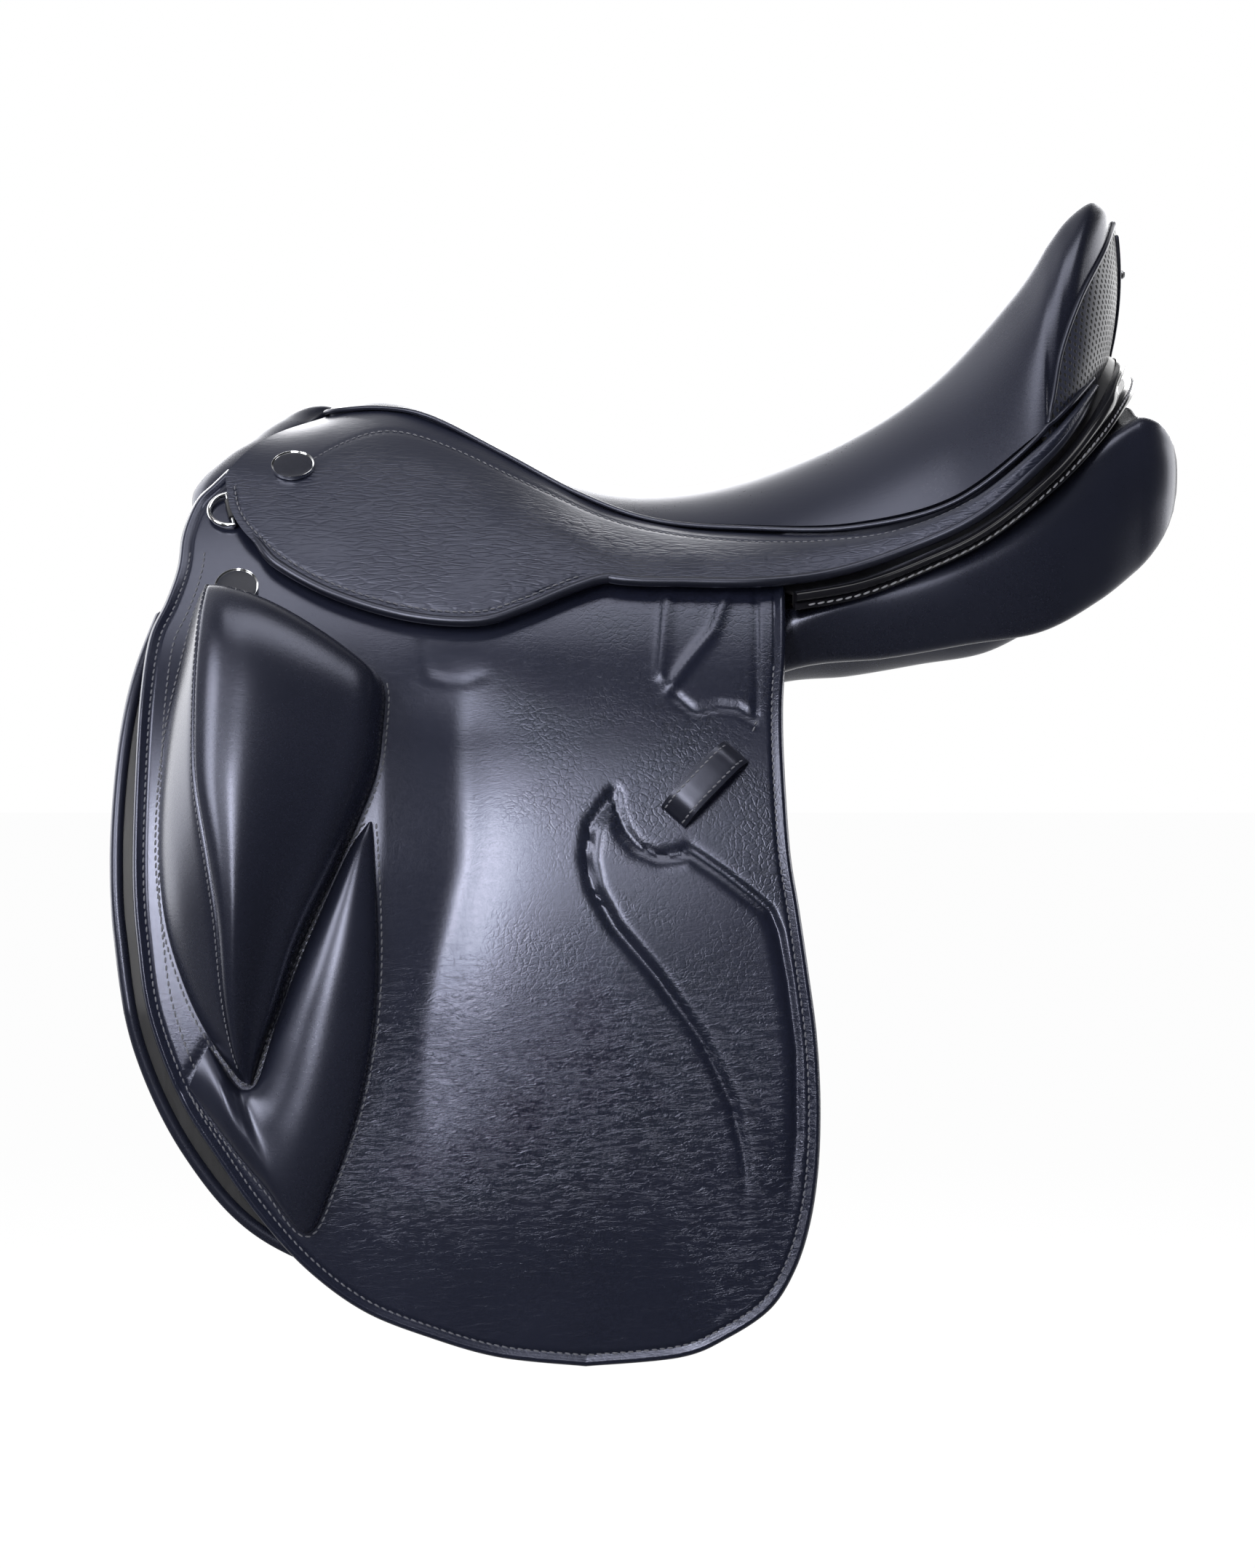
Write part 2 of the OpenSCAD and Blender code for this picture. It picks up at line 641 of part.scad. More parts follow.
function skirt_lower() =
    concat([for (x = skirt_fold_x) [x, out(fold_z(x) + 3 * fold_gap, skirt_out), fold_z(x) + 3 * fold_gap]],
        [for (p = skirt_hem) placed([p.x, max(p.y, p.x < 80 ? out(p.z, skirt_out) : 0), p.z])]);
function skirt_grid(n, rows) =
    between(curve([for (p = skirt_seam) placed(p)], n), curve(skirt_lower(), n), rows, skirt_crown);

module right_skirt_top() {
    hide = skirt_grid(39, 5);
    color(leather)
        slab(hide, sunk(hide, skirt_t));
}

module right_seat_piping() {
    seam = [for (k = [0 : 30]) on([for (p = rim) placed(p)], mix(0.5, 10.35, k / 30))];
    tail = [for (p = [[207, 121, 76], [218, 112, 86], [229.5, 99, 101]]) placed(p)];
    rows = 5;
    middle = sunk(skirt_grid(39, rows), skirt_t / 2);
    hem = [for (k = [16 : 38])
        middle[k][rows] + unit(middle[k][rows] - middle[k][rows - 1]) * (welt_r + 2 * layer_gap)];
    color(dark_leather) {
        tube(concat(seam, curve(tail, 5)), piping_r, 6);
        tube(hem, welt_r, 6);
    }
}

module right_flap_top() {
    color(leather)
        intersection() {
            flare_plate(-40, 70, -flap_t, 0, 22);
            across(curve([for (p = flap_edge) on_flap(p)], 60));
            union() {
                above_fold(fold_gap, strip_h);
                intersection() {
                    above_fold(fold_gap, far);
                    across([[fold_front.x, 4], [far, 4], [far, -far], [fold_front.x, -far]]);
                }
            }
        }
}

// Panel: rings of points (y, z) from the outer side over the top to the gullet and back below

function tucked(z, h) = [out(z, h), z];
function panel_ring(x, ring) = [for (q = ring) [x, q.x, q.y]];
function panel_fore(x, top, low, thick) =
    let (
        in = gullet_w / 2,
        roof = min(top, under_tree(x, in + 6)),
        eave = min(top - 10, under_tree(x, 60)))
    panel_ring(x, [
        tucked(-34, panel_out), tucked(-8, panel_out), tucked(min(16, eave - 6), panel_out),
        [min(out(eave, panel_out), 74), eave], [in + 6, roof], [in + 1, roof - thick * 0.7],
        tucked(-14, panel_out - thick), tucked(-44, panel_low_out - thick),
        tucked(low + 10, panel_low_out - thick * 0.6), tucked(low - 4, panel_low_out - 6),
        tucked(low + 4, panel_low_out), tucked(-52, panel_low_out)]);
function panel_aft(x, wide, roof, eave, mid, low, keel) =
    let (
        in = gullet_w / 2,
        top = min(roof, under_tree(x, in + 6)),
        shoulder = min(eave, under_tree(x, wide - 24)))
    panel_ring(x, [
        [wide, mid], [wide - 3, mix(mid, shoulder, 0.5)], [wide - 9, shoulder - 4], [wide - 24, shoulder],
        [in + 8, top], [in, mix(top, keel, 0.4)], [in + 3, mix(top, keel, 0.8)], [in + 12, keel],
        [mix(in, wide, 0.5), mix(keel, low, 0.5) - 3], [wide - 24, low + 1], [wide - 10, low],
        [wide - 2, mix(low, mid, 0.5)]]);

module right_panel() {
    stations = [
        panel_fore(-204, 44, -74, 14), panel_fore(-192, 46, -82, 20), panel_fore(-150, 44, -86, 24),
        panel_fore(-95, 36, -80, 25), panel_fore(-40, 12, -74, 22), panel_fore(20, 2, -66, 20),
        panel_aft(aft(82), 128, 12, -3, -22, -43, -12), panel_aft(aft(125), 128, 26, 4, -12, -38, -6),
        panel_aft(aft(165), 128, 44, 18, 1, -31, 2), panel_aft(aft(202), 124, 62, 42, 18, -24, 12),
        panel_aft(aft(232), 113, 84, 70, 36, -8, 24), panel_aft(aft(253), 101, 94, 84, 52, 8, 38),
        panel_aft(aft(266), 89, 86, 79, 56, 25, 46), panel_aft(aft(273.5), 72, 70, 67, 58, 46, 53)];
    rings = [for (k = [0 : 24]) loop(on(stations, k / 2), 18)];
    color(leather)
        loft(rings);
}

module right_sweat_flap() {
    outline = concat(curve([for (p = sweat_edge) on_flap(p)], 42), [for (p = sweat_top) on_flap(p)]);
    color(dark_leather)
        intersection() {
            flare_plate(-400, -10, sweat_in, sweat_out, 26, straight_z);
            across(outline);
        }
}

// Stirrup bar, its rivets, pin and catch

bar_rivets = [[-bar_l / 2 - 5, 0], [bar_l / 2 - 10, 0]];
module bar_rivet_holes() {
    at_flare(bar_at, 0)
        for (p = bar_rivets)
            translate([p.x, plate_in - 1, p.y])
                rotate([-90, 0, 0])
                    cylinder(d = rivet_d + 2 * pivot_gap, h = base_out - plate_in + 2);
}

module right_stirrup_bar() {
    end = bar_l / 2;
    color(steel)
        difference() {
            at_flare(bar_at, 0)
                difference() {
                    union() {
                        translate([-end, bar_in, -bar_w / 2])
                            cube([bar_l, bar_t, bar_w]);
                        translate([-end - bar_leg, base_in, -bar_w / 2])
                            cube([bar_leg + sliver, base_t + bar_slot + bar_t, bar_w]);
                        translate([-end - 2 * bar_leg, base_in, -bar_w / 2 - 3])
                            cube([bar_l + 2 * bar_leg, base_t, bar_w + 6]);
                        translate([end - sliver, bar_in, -bar_w / 2])
                            cube([tongue_l, bar_t / 2, bar_w]);
                    }
                    translate([end + tongue_l / 2, bar_in, 0])
                        rotate([90, 0, 0])
                            cylinder(d = pin_d + 2 * pivot_gap, h = far / 4, center = true);
                }
            bar_rivet_holes();
        }
}
module right_bar_rivets() {
    color(steel)
        at_flare(bar_at, 0)
            for (p = bar_rivets)
                translate([p.x, plate_in, p.y])
                    rotate([-90, 0, 0])
                        cylinder(d = rivet_d, h = base_out - plate_in - layer_gap);
}

module right_bar_pin() {
    color(steel)
        at_flare(bar_at, 0)
            translate([bar_l / 2 + tongue_l / 2, bar_in - 0.6, 0])
                rotate([-90, 0, 0])
                    cylinder(d = pin_d, h = bar_t + 0.8);
}

module right_bar_catch() {
    color(steel)
        at_flare(bar_at, 0)
            translate([bar_l / 2 + tongue_l / 2, bar_in + bar_t / 2 + layer_gap, 0])
                difference() {
                    union() {
                        rotate([-90, 0, 0])
                            cylinder(d = bar_w - 2, h = bar_t / 2 - layer_gap);
                        translate([0, 0, 1 - bar_w / 2])
                            cube([catch_l - 4, bar_t / 2 - layer_gap, bar_w - 2]);
                        translate([catch_l - 4, 0, 0])
                            rotate([-90, 0, 0])
                                cylinder(d = bar_w - 2, h = bar_t / 2 - layer_gap);
                    }
                    rotate([90, 0, 0])
                        cylinder(d = pin_d + 2 * pivot_gap, h = far / 4, center = true);
                }
}

// Girth straps and what they hang on

function strap_levels() = [for (k = [0 : 16]) mix(strap_top_z, straight_z, k / 16)];
module girth_strap(x) {
    levels = strap_levels();
    tip = -strap_drop;
    face = concat([for (z = levels) [out(z, strap_out), z]], [[out(straight_z, strap_out), tip]]);
    back = concat([for (z = levels) [out(z, strap_in), z]], [[out(straight_z, strap_in), tip]]);
    color(dark_leather)
        difference() {
            translate([x - strap_w / 2, 0, 0])
                rotate([90, 0, 90])
                    linear_extrude(strap_w)
                        polygon(concat(face, [for (k = [len(back) - 1 : -1 : 0]) back[k]]));
            strap_pivot(x, rivet_d / 2 + pivot_gap);
            for (k = [0 : strap_holes - 1])
                translate([x, 0, first_hole_z - k * hole_pitch])
                    rotate([-90, 0, 0])
                        cylinder(d = hole_d, h = far / 2);
            for (turn = [-1, 1])
                across([
                    [x + turn * strap_w / 2, tip + strap_w / 2], [x + turn * strap_w, tip + strap_w / 2],
                    [x + turn * strap_w, tip - 1], [x + turn * strap_w / 6, tip - 1]]);
        }
}
module strap_pivot(x, r) {
    translate([x, 0, strap_pivot_z])
        rotate([-90, 0, 0])
            cylinder(r = r, h = far / 2);
}
module right_strap_front() {
    girth_strap(strap_front_x);
}
module right_strap_rear() {
    girth_strap(strap_rear_x);
}

module girth_web(x) {
    s = station(x + strap_w / 2);
    rail = seat(s, tree_edge);
    levels = [for (k = [0 : 6]) mix(web_low_z, 6, k / 6)];
    low = [for (z = levels) [out(z, web_out), z]];
    start = [rail.y + layer_gap, rail.z - tree_top - tree_t / 2];
    bend = [mix(start.x, low[6].x, 0.5), mix(start.y, low[6].y, 0.3)];
    face = concat(low, [bend, start]);
    back = concat(
        [for (z = levels) [out(z, web_out - web_t), z]],
        [bend - [web_t / 2, web_t], start - [0, web_t]]);
    difference() {
        translate([x - strap_w / 2, 0, 0])
            rotate([90, 0, 90])
                linear_extrude(strap_w)
                    polygon(concat(face, [for (k = [len(back) - 1 : -1 : 0]) back[k]]));
        strap_pivot(x, rivet_d / 2 + pivot_gap);
    }
}
module right_girth_web() {
    color(linen)
        for (x = [strap_front_x, strap_rear_x])
            girth_web(x);
}

module right_girth_rivets() {
    low = out(strap_pivot_z, web_out - web_t - 1.5);
    high = out(strap_pivot_z, strap_out - 0.2);
    color(steel)
        for (x = [strap_front_x, strap_rear_x])
            translate([x, low, strap_pivot_z])
                rotate([-90, 0, 0])
                    cylinder(d = rivet_d, h = high - low);
}

// Flap and what is sewn to it

module right_flap() {
    reach = bar_l / 2;
    color(leather)
        difference() {
            intersection() {
                flare_plate(-400, 70, -flap_t, 0, 40);
                across(curve([for (p = flap_edge) on_flap(p)], 60));
                below_fold(fold_gap);
            }
            across([
                [bar_at.x - reach - 6, bar_at.y - 13], [bar_at.x + reach + catch_l + 6, bar_at.y - 13],
                [bar_at.x + reach + catch_l + 6, bar_at.y + 1], [bar_at.x + reach, bar_at.y + 10],
                [bar_at.x - reach - 6, bar_at.y + 14]]);
        }
}

// Padded block over the flap: columns run from the rear edge over the crest to the front edge
function block_profile(c) = [
    [1, 0], [0.985, 0.34], [0.93, 0.56], [0.8, 0.7], [mix(0.8, c, 0.4), 0.84], [mix(0.8, c, 0.75), 0.95],
    [c, 1], [c * 0.75, 0.9], [c * 0.35, 0.55], [c * 0.08, 0.2], [0, 0]];
function pad_profile() = [
    [1, 0], [0.97, 0.4], [0.86, 0.72], [0.68, 0.94], [0.5, 1], [0.3, 0.9], [0.12, 0.62], [0.02, 0.3], [0, 0]];
function cushion(rows, profile, height, n, foot) =
    [for (k = [0 : n])
        let (
            q = on(rows, k * (len(rows) - 1) / n),
            front = on_flap([q[0], q[1]]),
            rear = on_flap([q[2], q[3]]))
        [for (u = profile ? block_profile(q[4]) : pad_profile())
            let (p = mix(front, rear, u.x) + [0, q[6] * 4 * u.x * (1 - u.x)])
            proud(p.x, p.y, foot ? block_foot : block_foot + block_edge + max(0, q[5]) * height * u.y)]];

module right_knee_block() {
    color(dark_leather)
        slab(cushion(block_rows, true, block_h, 24, false), cushion(block_rows, true, block_h, 24, true));
}

module right_knee_pad() {
    color(leather)
        slab(cushion(pad_rows, false, pad_h, 24, false), cushion(pad_rows, false, pad_h, 24, true));
}

module right_keeper() {
    half = keeper_l / 2;
    top = [
        [-half, keeper_t], [keeper_foot - half, keeper_t + 0.4],
        [keeper_foot + 5 - half, keeper_gap + keeper_t - 0.6], [0, keeper_gap + keeper_t],
        [half - keeper_foot - 5, keeper_gap + keeper_t - 0.6],
        [half - keeper_foot, keeper_t + 0.4], [half, keeper_t]];
    low = [
        [-half, 0], [keeper_foot - half, 0], [keeper_foot + 5 - half, keeper_gap - 0.4], [0, keeper_gap],
        [half - keeper_foot - 5, keeper_gap - 0.4], [half - keeper_foot, 0], [half, 0]];
    color(dark_leather)
        at_flare(on_flap(keeper_at), layer_gap)
            rotate([0, -keeper_turn, 0])
                translate([0, 0, -keeper_w / 2])
                    linear_extrude(keeper_w)
                        polygon(concat(curve(top, 18), [for (p = [6 : -1 : 0]) low[p]]));
}

// Plain domed stud on a chrome rim, standing on +Z
module stud() {
    color(steel)
        rotate_extrude()
            polygon(concat(
                [[0, 0], [stud_d / 2, 0], [stud_d / 2, stud_h * 0.45], [stud_d / 2 - 1.6, stud_h * 0.7]],
                [for (k = [0 : 6])
                    [(stud_d / 2 - 2.2) * cos(k * 15), stud_h * (0.55 + 0.45 * sin(k * 15))]]));
}
module right_flap_stud() {
    at_flare(flap_stud_at, layer_gap)
        rotate([-90, 0, 0])
            stud();
}
module right_skirt_stud() {
    a = on([for (p = skirt_seam) placed(p)], skirt_stud_at.x);
    b = on(skirt_lower(), skirt_stud_at.x);
    along = on(skirt_lower(), skirt_stud_at.x + 0.2) - b;
    n = unit(cross(along, b - a));
    share = skirt_stud_at.y;
    p = mix(a, b, share) + n * (skirt_crown * 4 * share * (1 - share) + 0.9);
    translate(p)
        rotate([0, acos(n.z), atan2(n.y, n.x)])
            stud();
}

// D-ring that swings on its straight side, in a sleeve sewn to the flap
module at_ring() {
    at_flare(ring_at, ring_h)
        rotate([0, ring_turn, 0])
            children();
}
module right_d_ring() {
    color(steel)
        at_ring() {
            translate([0, 0, -ring_r])
                cylinder(d = ring_wire, h = 2 * ring_r);
            rotate([90, 0, 0])
                rotate([0, 0, 90])
                    rotate_extrude(angle = 180)
                        translate([ring_r, 0])
                            circle(d = ring_wire);
            for (z = [-ring_r, ring_r])
                translate([0, 0, z])
                    sphere(d = ring_wire);
        }
}
module right_ring_chape() {
    bore = ring_wire / 2 + pivot_gap;
    color(leather)
        at_ring()
            difference() {
                union() {
                    translate([0, 0, -sleeve_l / 2])
                        cylinder(r = bore + sleeve_wall, h = sleeve_l);
                    translate([0, -bore - sleeve_wall, -sleeve_l / 2])
                        cube([16, 1.2, sleeve_l]);
                }
                cylinder(r = bore, h = 2 * sleeve_l, center = true);
            }
}

// Skirt below the fold

module right_skirt() {
    fold_from = -197.5;
    front = [[fold_from, fold_z(fold_from)], [-194.6, 44]];
    color(leather)
        intersection() {
            flare_plate(-60, 60, skirt_in, skirt_out, 24);
            across(concat(front, curve(skirt_edge, 24), [[-14, fold_z(-14)]]));
            below_fold(fold_gap);
        }
}

module right_skirt_welt() {
    h = (skirt_in + skirt_out) / 2;
    color(dark_leather)
        tube([for (p = curve(welt_line, 20)) [p.x, out(p.y, h), p.y]], welt_r, 6);
}

saddle_tree();
gullet_plate();
gullet_rivets();
tree_springs();
seat_webbing();
seat_foam();
seat_cover();
cantle_piping();
cantle_back();
cantle_trim();
cantle_stud();
front_arch();
left() right_skirt_top();  // left_skirt_top
right_skirt_top();
left() right_seat_piping();  // left_seat_piping
right_seat_piping();
left() right_flap_top();  // left_flap_top
right_flap_top();
left() right_panel();  // left_panel
right_panel();
left() right_sweat_flap();  // left_sweat_flap
right_sweat_flap();
left() right_stirrup_bar();  // left_stirrup_bar
right_stirrup_bar();
left() right_bar_rivets();  // left_bar_rivets
right_bar_rivets();
left() right_bar_pin();  // left_bar_pin
right_bar_pin();
left() right_bar_catch();  // left_bar_catch
right_bar_catch();
left() right_girth_web();  // left_girth_web
right_girth_web();
left() right_girth_rivets();  // left_girth_rivets
right_girth_rivets();
left() right_skirt_stud();  // left_skirt_stud
right_skirt_stud();
left() right_flap();  // left_flap
right_flap();
left() right_knee_block();  // left_knee_block
right_knee_block();
left() right_knee_pad();  // left_knee_pad
right_knee_pad();
left() right_keeper();  // left_keeper
right_keeper();
left() right_flap_stud();  // left_flap_stud
right_flap_stud();
left() right_ring_chape();  // left_ring_chape
right_ring_chape();
left() right_d_ring();  // left_d_ring
right_d_ring();
left() right_skirt();  // left_skirt
right_skirt();
left() right_skirt_welt();  // left_skirt_welt
right_skirt_welt();
left() right_strap_front();  // left_strap_front
right_strap_front();
left() right_strap_rear();  // left_strap_rear
right_strap_rear();
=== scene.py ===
import json
import math

import bmesh
import bpy
import numpy as np
from bpy.props import FloatProperty, FloatVectorProperty, PointerProperty
from mathutils import Matrix, Vector

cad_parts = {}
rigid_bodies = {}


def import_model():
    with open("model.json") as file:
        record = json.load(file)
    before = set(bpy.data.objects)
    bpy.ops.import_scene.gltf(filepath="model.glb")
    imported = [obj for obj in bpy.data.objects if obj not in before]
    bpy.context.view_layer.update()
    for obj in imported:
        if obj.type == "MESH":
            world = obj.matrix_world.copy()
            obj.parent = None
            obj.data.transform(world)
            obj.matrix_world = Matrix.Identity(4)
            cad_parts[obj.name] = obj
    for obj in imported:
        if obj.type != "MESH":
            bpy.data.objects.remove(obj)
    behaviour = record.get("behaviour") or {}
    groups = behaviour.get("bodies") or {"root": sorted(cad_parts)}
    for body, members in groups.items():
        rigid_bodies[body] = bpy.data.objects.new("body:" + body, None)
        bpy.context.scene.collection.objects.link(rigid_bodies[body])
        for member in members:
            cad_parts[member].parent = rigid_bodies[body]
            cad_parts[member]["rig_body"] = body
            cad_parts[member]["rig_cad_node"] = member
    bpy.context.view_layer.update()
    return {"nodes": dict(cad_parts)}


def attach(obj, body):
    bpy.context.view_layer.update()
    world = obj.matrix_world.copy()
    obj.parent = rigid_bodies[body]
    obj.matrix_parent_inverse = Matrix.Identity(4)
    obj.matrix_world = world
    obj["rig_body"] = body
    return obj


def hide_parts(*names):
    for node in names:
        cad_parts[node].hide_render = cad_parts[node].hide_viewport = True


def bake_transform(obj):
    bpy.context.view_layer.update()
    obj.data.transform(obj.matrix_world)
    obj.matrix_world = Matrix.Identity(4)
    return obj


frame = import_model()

bl_info = {
    "name": "Dressage Saddle",
    "version": (1, 0, 0),
    "blender": (4, 5, 0),
    "location": "View3D > Sidebar > Saddle",
    "description": "Dresses the solids of a dressage saddle in leather, stitching and steel",
    "category": "Add Mesh",
}

MM = 0.001
SIDES = (("left", -1), ("right", 1))

# Seat in millimetres: the crest line (x, z), the rim and the tail of its seam (x, y, z), the hollow
CREST = [(-157, 94), (-150, 97), (-129, 102), (-99, 96), (-61, 76), (-24, 59), (14, 53), (60, 61), (109, 82),
         (150, 112), (190, 156), (214, 186), (228, 198), (241, 204), (249, 200), (253, 196)]
RIM = [(-156, 30, 92), (-150, 40, 92), (-126, 51, 92), (-100, 62, 86), (-62, 72.5, 66), (-24, 82, 45),
       (14, 91, 31), (62, 104, 26), (110, 115, 25.5), (158, 123, 37), (197, 126, 67), (205, 116, 83),
       (212, 103, 112), (224, 86, 141), (240, 59, 169), (251, 25, 190)]
SEAM_TAIL = [(207, 120, 76), (217.5, 109.5, 86.5), (231, 85, 101)]
DISH = [0, 0, 0, 0, 0, 0, 0, 3, 9, 16, 20, 18, 12, 6, 1, 0]
SEAT_END = len(RIM) - 1

# Side of the saddle: half-width as a formula of the height, the fold, heights over the flap's face, the
# gullet's width and the length of the dome at the panel's rear
FLARE_LOW, FLARE_IN, FLARE_BASE, FLARE_SPAN, FLARE_POW = 205, 150, -364, 454, 3.2
FOLD_FRONT, FOLD_REAR = (-194, 51), (75, -23)
FOLD_SLOPE = (FOLD_REAR[1] - FOLD_FRONT[1]) / (FOLD_REAR[0] - FOLD_FRONT[0])
FLAP_T, SKIRT_IN, SKIRT_OUT, SWEAT_OUT, SWEAT_IN = 4.5, 4.8, 7.8, -12.8, -16.3
PLATE_IN = -26.1
PANEL_OUT, PANEL_LOW_OUT = PLATE_IN - 3.5, SWEAT_IN - 2.2
GULLET_W, PANEL_DOME = 66, 22.5

# Outlines on the side (x, z)
FLAP_FRONT = [(-198.5, 56), (-205, 48), (-212, 39), (-216.5, 22), (-217, 4), (-221, -13), (-227, -30),
              (-229, -58), (-229, -95), (-228, -141), (-225, -172), (-219, -206), (-205, -242), (-186, -272),
              (-168, -297), (-146, -321), (-120, -340), (-90, -352), (-58, -361), (-19, -365)]
FLAP_REAR = [(75.5, 2), (75.3, -19), (74.5, -42), (73, -64), (73, -90), (75, -130), (79, -158), (83, -187),
             (86.5, -215), (88, -245), (87, -275), (83, -301), (76, -322), (65, -339), (46, -352), (24, -361),
             (-19, -365)]
SWEAT_FRONT = [(-226, -20), (-233, -45), (-237, -70), (-239, -100), (-239, -135), (-236, -170), (-226, -222),
               (-203, -270), (-169, -307), (-115, -328), (-50, -337)]
SWEAT_REAR = [(56, -48), (60, -110), (62, -200), (61, -250), (56, -295), (42, -318), (20, -330), (-50, -337)]
SKIRT_EDGE = [(-197.2, 51.9), (-195.6, 44), (-192.6, 33.5), (-187.5, 25), (-181, 17.8), (-166, 4.8),
              (-139, -9.4), (-104, -19.9), (-71, -22.4), (-49, -15.9), (-30, -7.8), (-16, -2.6), (-8, -1)]

# Skirt above the fold: its seam under the seat, its hem behind the fold and the share of its stitch line;
# below the fold, the distance of the stitch row from the edge
SKIRT_SEAM = [(-158, 33, 88), (-140, 48, 88.5), (-112, 60.5, 85), (-80, 70, 72), (-44, 80.5, 52),
              (-10, 89.5, 34.5), (25, 98, 25.5), (60, 107, 22), (95, 115, 20.5), (130, 122.5, 23),
              (165, 127.5, 36.5), (195, 129.5, 60), (216, 114, 81), (230.5, 84, 98.5)]
SKIRT_FOLD_X = (-197, -170, -135, -95, -50, -8)
SKIRT_HEM = [(30, 141, -2), (64, 141, -2), (98, 136, 2.5), (133, 134.5, 13.5), (168, 136, 29.5),
             (200, 133, 55.5), (219.5, 116.5, 77.5), (232.5, 84.5, 94.5)]
SKIRT_STITCH = [(1.15, 0.72), (1.4, 0.45), (1.7, 0.26), (2.1, 0.18), (2.7, 0.16), (3.5, 0.17), (4.2, 0.16),
                (5, 0.15), (5.6, 0.18), (6.5, 0.22), (7, 0.25), (7.6, 0.24), (8.1, 0.22), (8.7, 0.2),
                (9.2, 0.19), (10.1, 0.18)]
SKIRT_SEAM_IN = 4

# Cantle: foot of the perforated back, edges of the patent trim and foot of the leather behind it
BACK_BASE = [(205, 121, 73), (213, 113, 84), (226.5, 99.5, 99.5), (236, 82, 110), (242, 63, 115),
             (246, 38, 118), (247.5, 14, 119.5), (247.5, 0, 119.5)]
TRIM_UPPER = [(80, 138, -8), (111, 132.5, -2), (141, 132, 9), (172, 133, 24.5), (204, 130, 51),
              (226, 111, 77.5), (242, 82, 101), (251, 50, 115), (255, 22, 122), (256, 0, 124)]
TRIM_LOWER = [(80, 136, -17), (111, 130, -11), (142, 129, 1), (174, 130, 17), (206, 128, 42), (231, 111, 67),
              (248, 82, 88), (257, 50, 100), (261, 22, 106.5), (262, 0, 108)]
CANTLE_FOOT = [(80, 116, -8), (111, 116, -2), (142, 115, 6), (174, 113, 19), (206, 108, 43), (229, 97, 66),
               (243, 78, 82), (248, 50, 90), (250, 22, 93.5), (250, 0, 94)]

# Panel: sections (x, top, low, thickness) in front and (x, width, roof, eave, middle, low, keel) behind, the
# shares and steps of its nose, and the places on the dome of its tail
PANEL_FORE = [(-204, 44, -74, 14), (-192, 46, -82, 20), (-150, 44, -86, 24), (-95, 36, -80, 25),
              (-40, 12, -74, 22), (20, 2, -66, 20)]
PANEL_AFT = [(82, 128, 12, -3, -22, -43, -12), (125, 128, 26, 4, -12, -38, -6), (165, 128, 44, 18, 1, -31, 2),
             (202, 124, 62, 42, 18, -24, 12), (232, 113, 84, 70, 36, -8, 24), (253, 101, 92, 84, 52, 8, 38)]
PANEL_NOSE = ((0.35, 2.3), (0.72, 1.8), (0.93, 0.9))
PANEL_TAIL = (0.25, 0.36, 0.48, 0.6, 0.71, 0.81, 0.9, 0.97)

# Padded facing in front of the pommel and the foot of the leather that closes the head
ARCH_FRONT = [(-158.5, 0, 98.5), (-170.5, 12, 94.5), (-188, 28, 81.5), (-201, 46, 69), (-211, 63, 57),
              (-217, 76, 44), (-215, 86, 31), (-214, 97, 14), (-214, 106, -6)]
ARCH_REAR = [(-155.5, 0, 90.5), (-160, 16, 88.5), (-166, 32, 84.5), (-173, 47, 77), (-182, 63, 68),
             (-191, 77, 57), (-198, 83, 45), (-205, 96, 18), (-207, 106, -8)]
POMMEL_FOOT = [(-193, 0, 48), (-193, 20, 47.5), (-193, 40, 45.5), (-193, 55, 41.5), (-193, 66.5, 35),
               (-194, 77.5, 22.5), (-196, 85.5, 12.5), (-199, 98.5, -6), (-200, 106.5, -18)]

# Knee block and pad, from the top to the tip: front x, z, rear x, z, crest, share of the height, bow
BLOCK_ROWS = [(-203.5, -14, -115, -52.5, 0.08, 0.3, 6), (-204.5, -17, -114, -56, 0.09, 0.66, 6),
              (-206, -24, -113.5, -62, 0.1, 0.88, 5), (-209, -42, -114, -74, 0.12, 1, 3),
              (-214, -74, -116, -94, 0.17, 1, 0), (-216, -108, -124, -117, 0.23, 1, 0),
              (-215, -140, -136, -145, 0.34, 0.95, 0), (-210, -170, -149, -173, 0.44, 0.84, 0),
              (-199, -200, -159, -202, 0.46, 0.66, 0), (-187, -221, -167, -223, 0.48, 0.42, 0),
              (-177, -234, -171, -237, 0.5, 0.12, 0)]
PAD_ROWS = [(-119.6, -118.5, -117.8, -118, 0.5, 0.15, 0), (-128, -131, -116.6, -129, 0.5, 0.5, 0),
            (-140, -158, -115, -154, 0.5, 0.8, 0), (-151.2, -185, -114.2, -185, 0.5, 1, 0),
            (-160.9, -212, -116.5, -217, 0.5, 1, 0), (-166, -229, -123, -250, 0.5, 1, 0),
            (-169.6, -237.4, -133.5, -281, 0.5, 1, 0), (-175.2, -238.6, -145.7, -304, 0.5, 0.95, 0),
            (-179.5, -235, -164, -283.5, 0.5, 0.95, 0), (-184, -228.6, -181, -263, 0.5, 0.85, 0),
            (-190.4, -219.6, -199.4, -238.4, 0.5, 0.3, 0)]

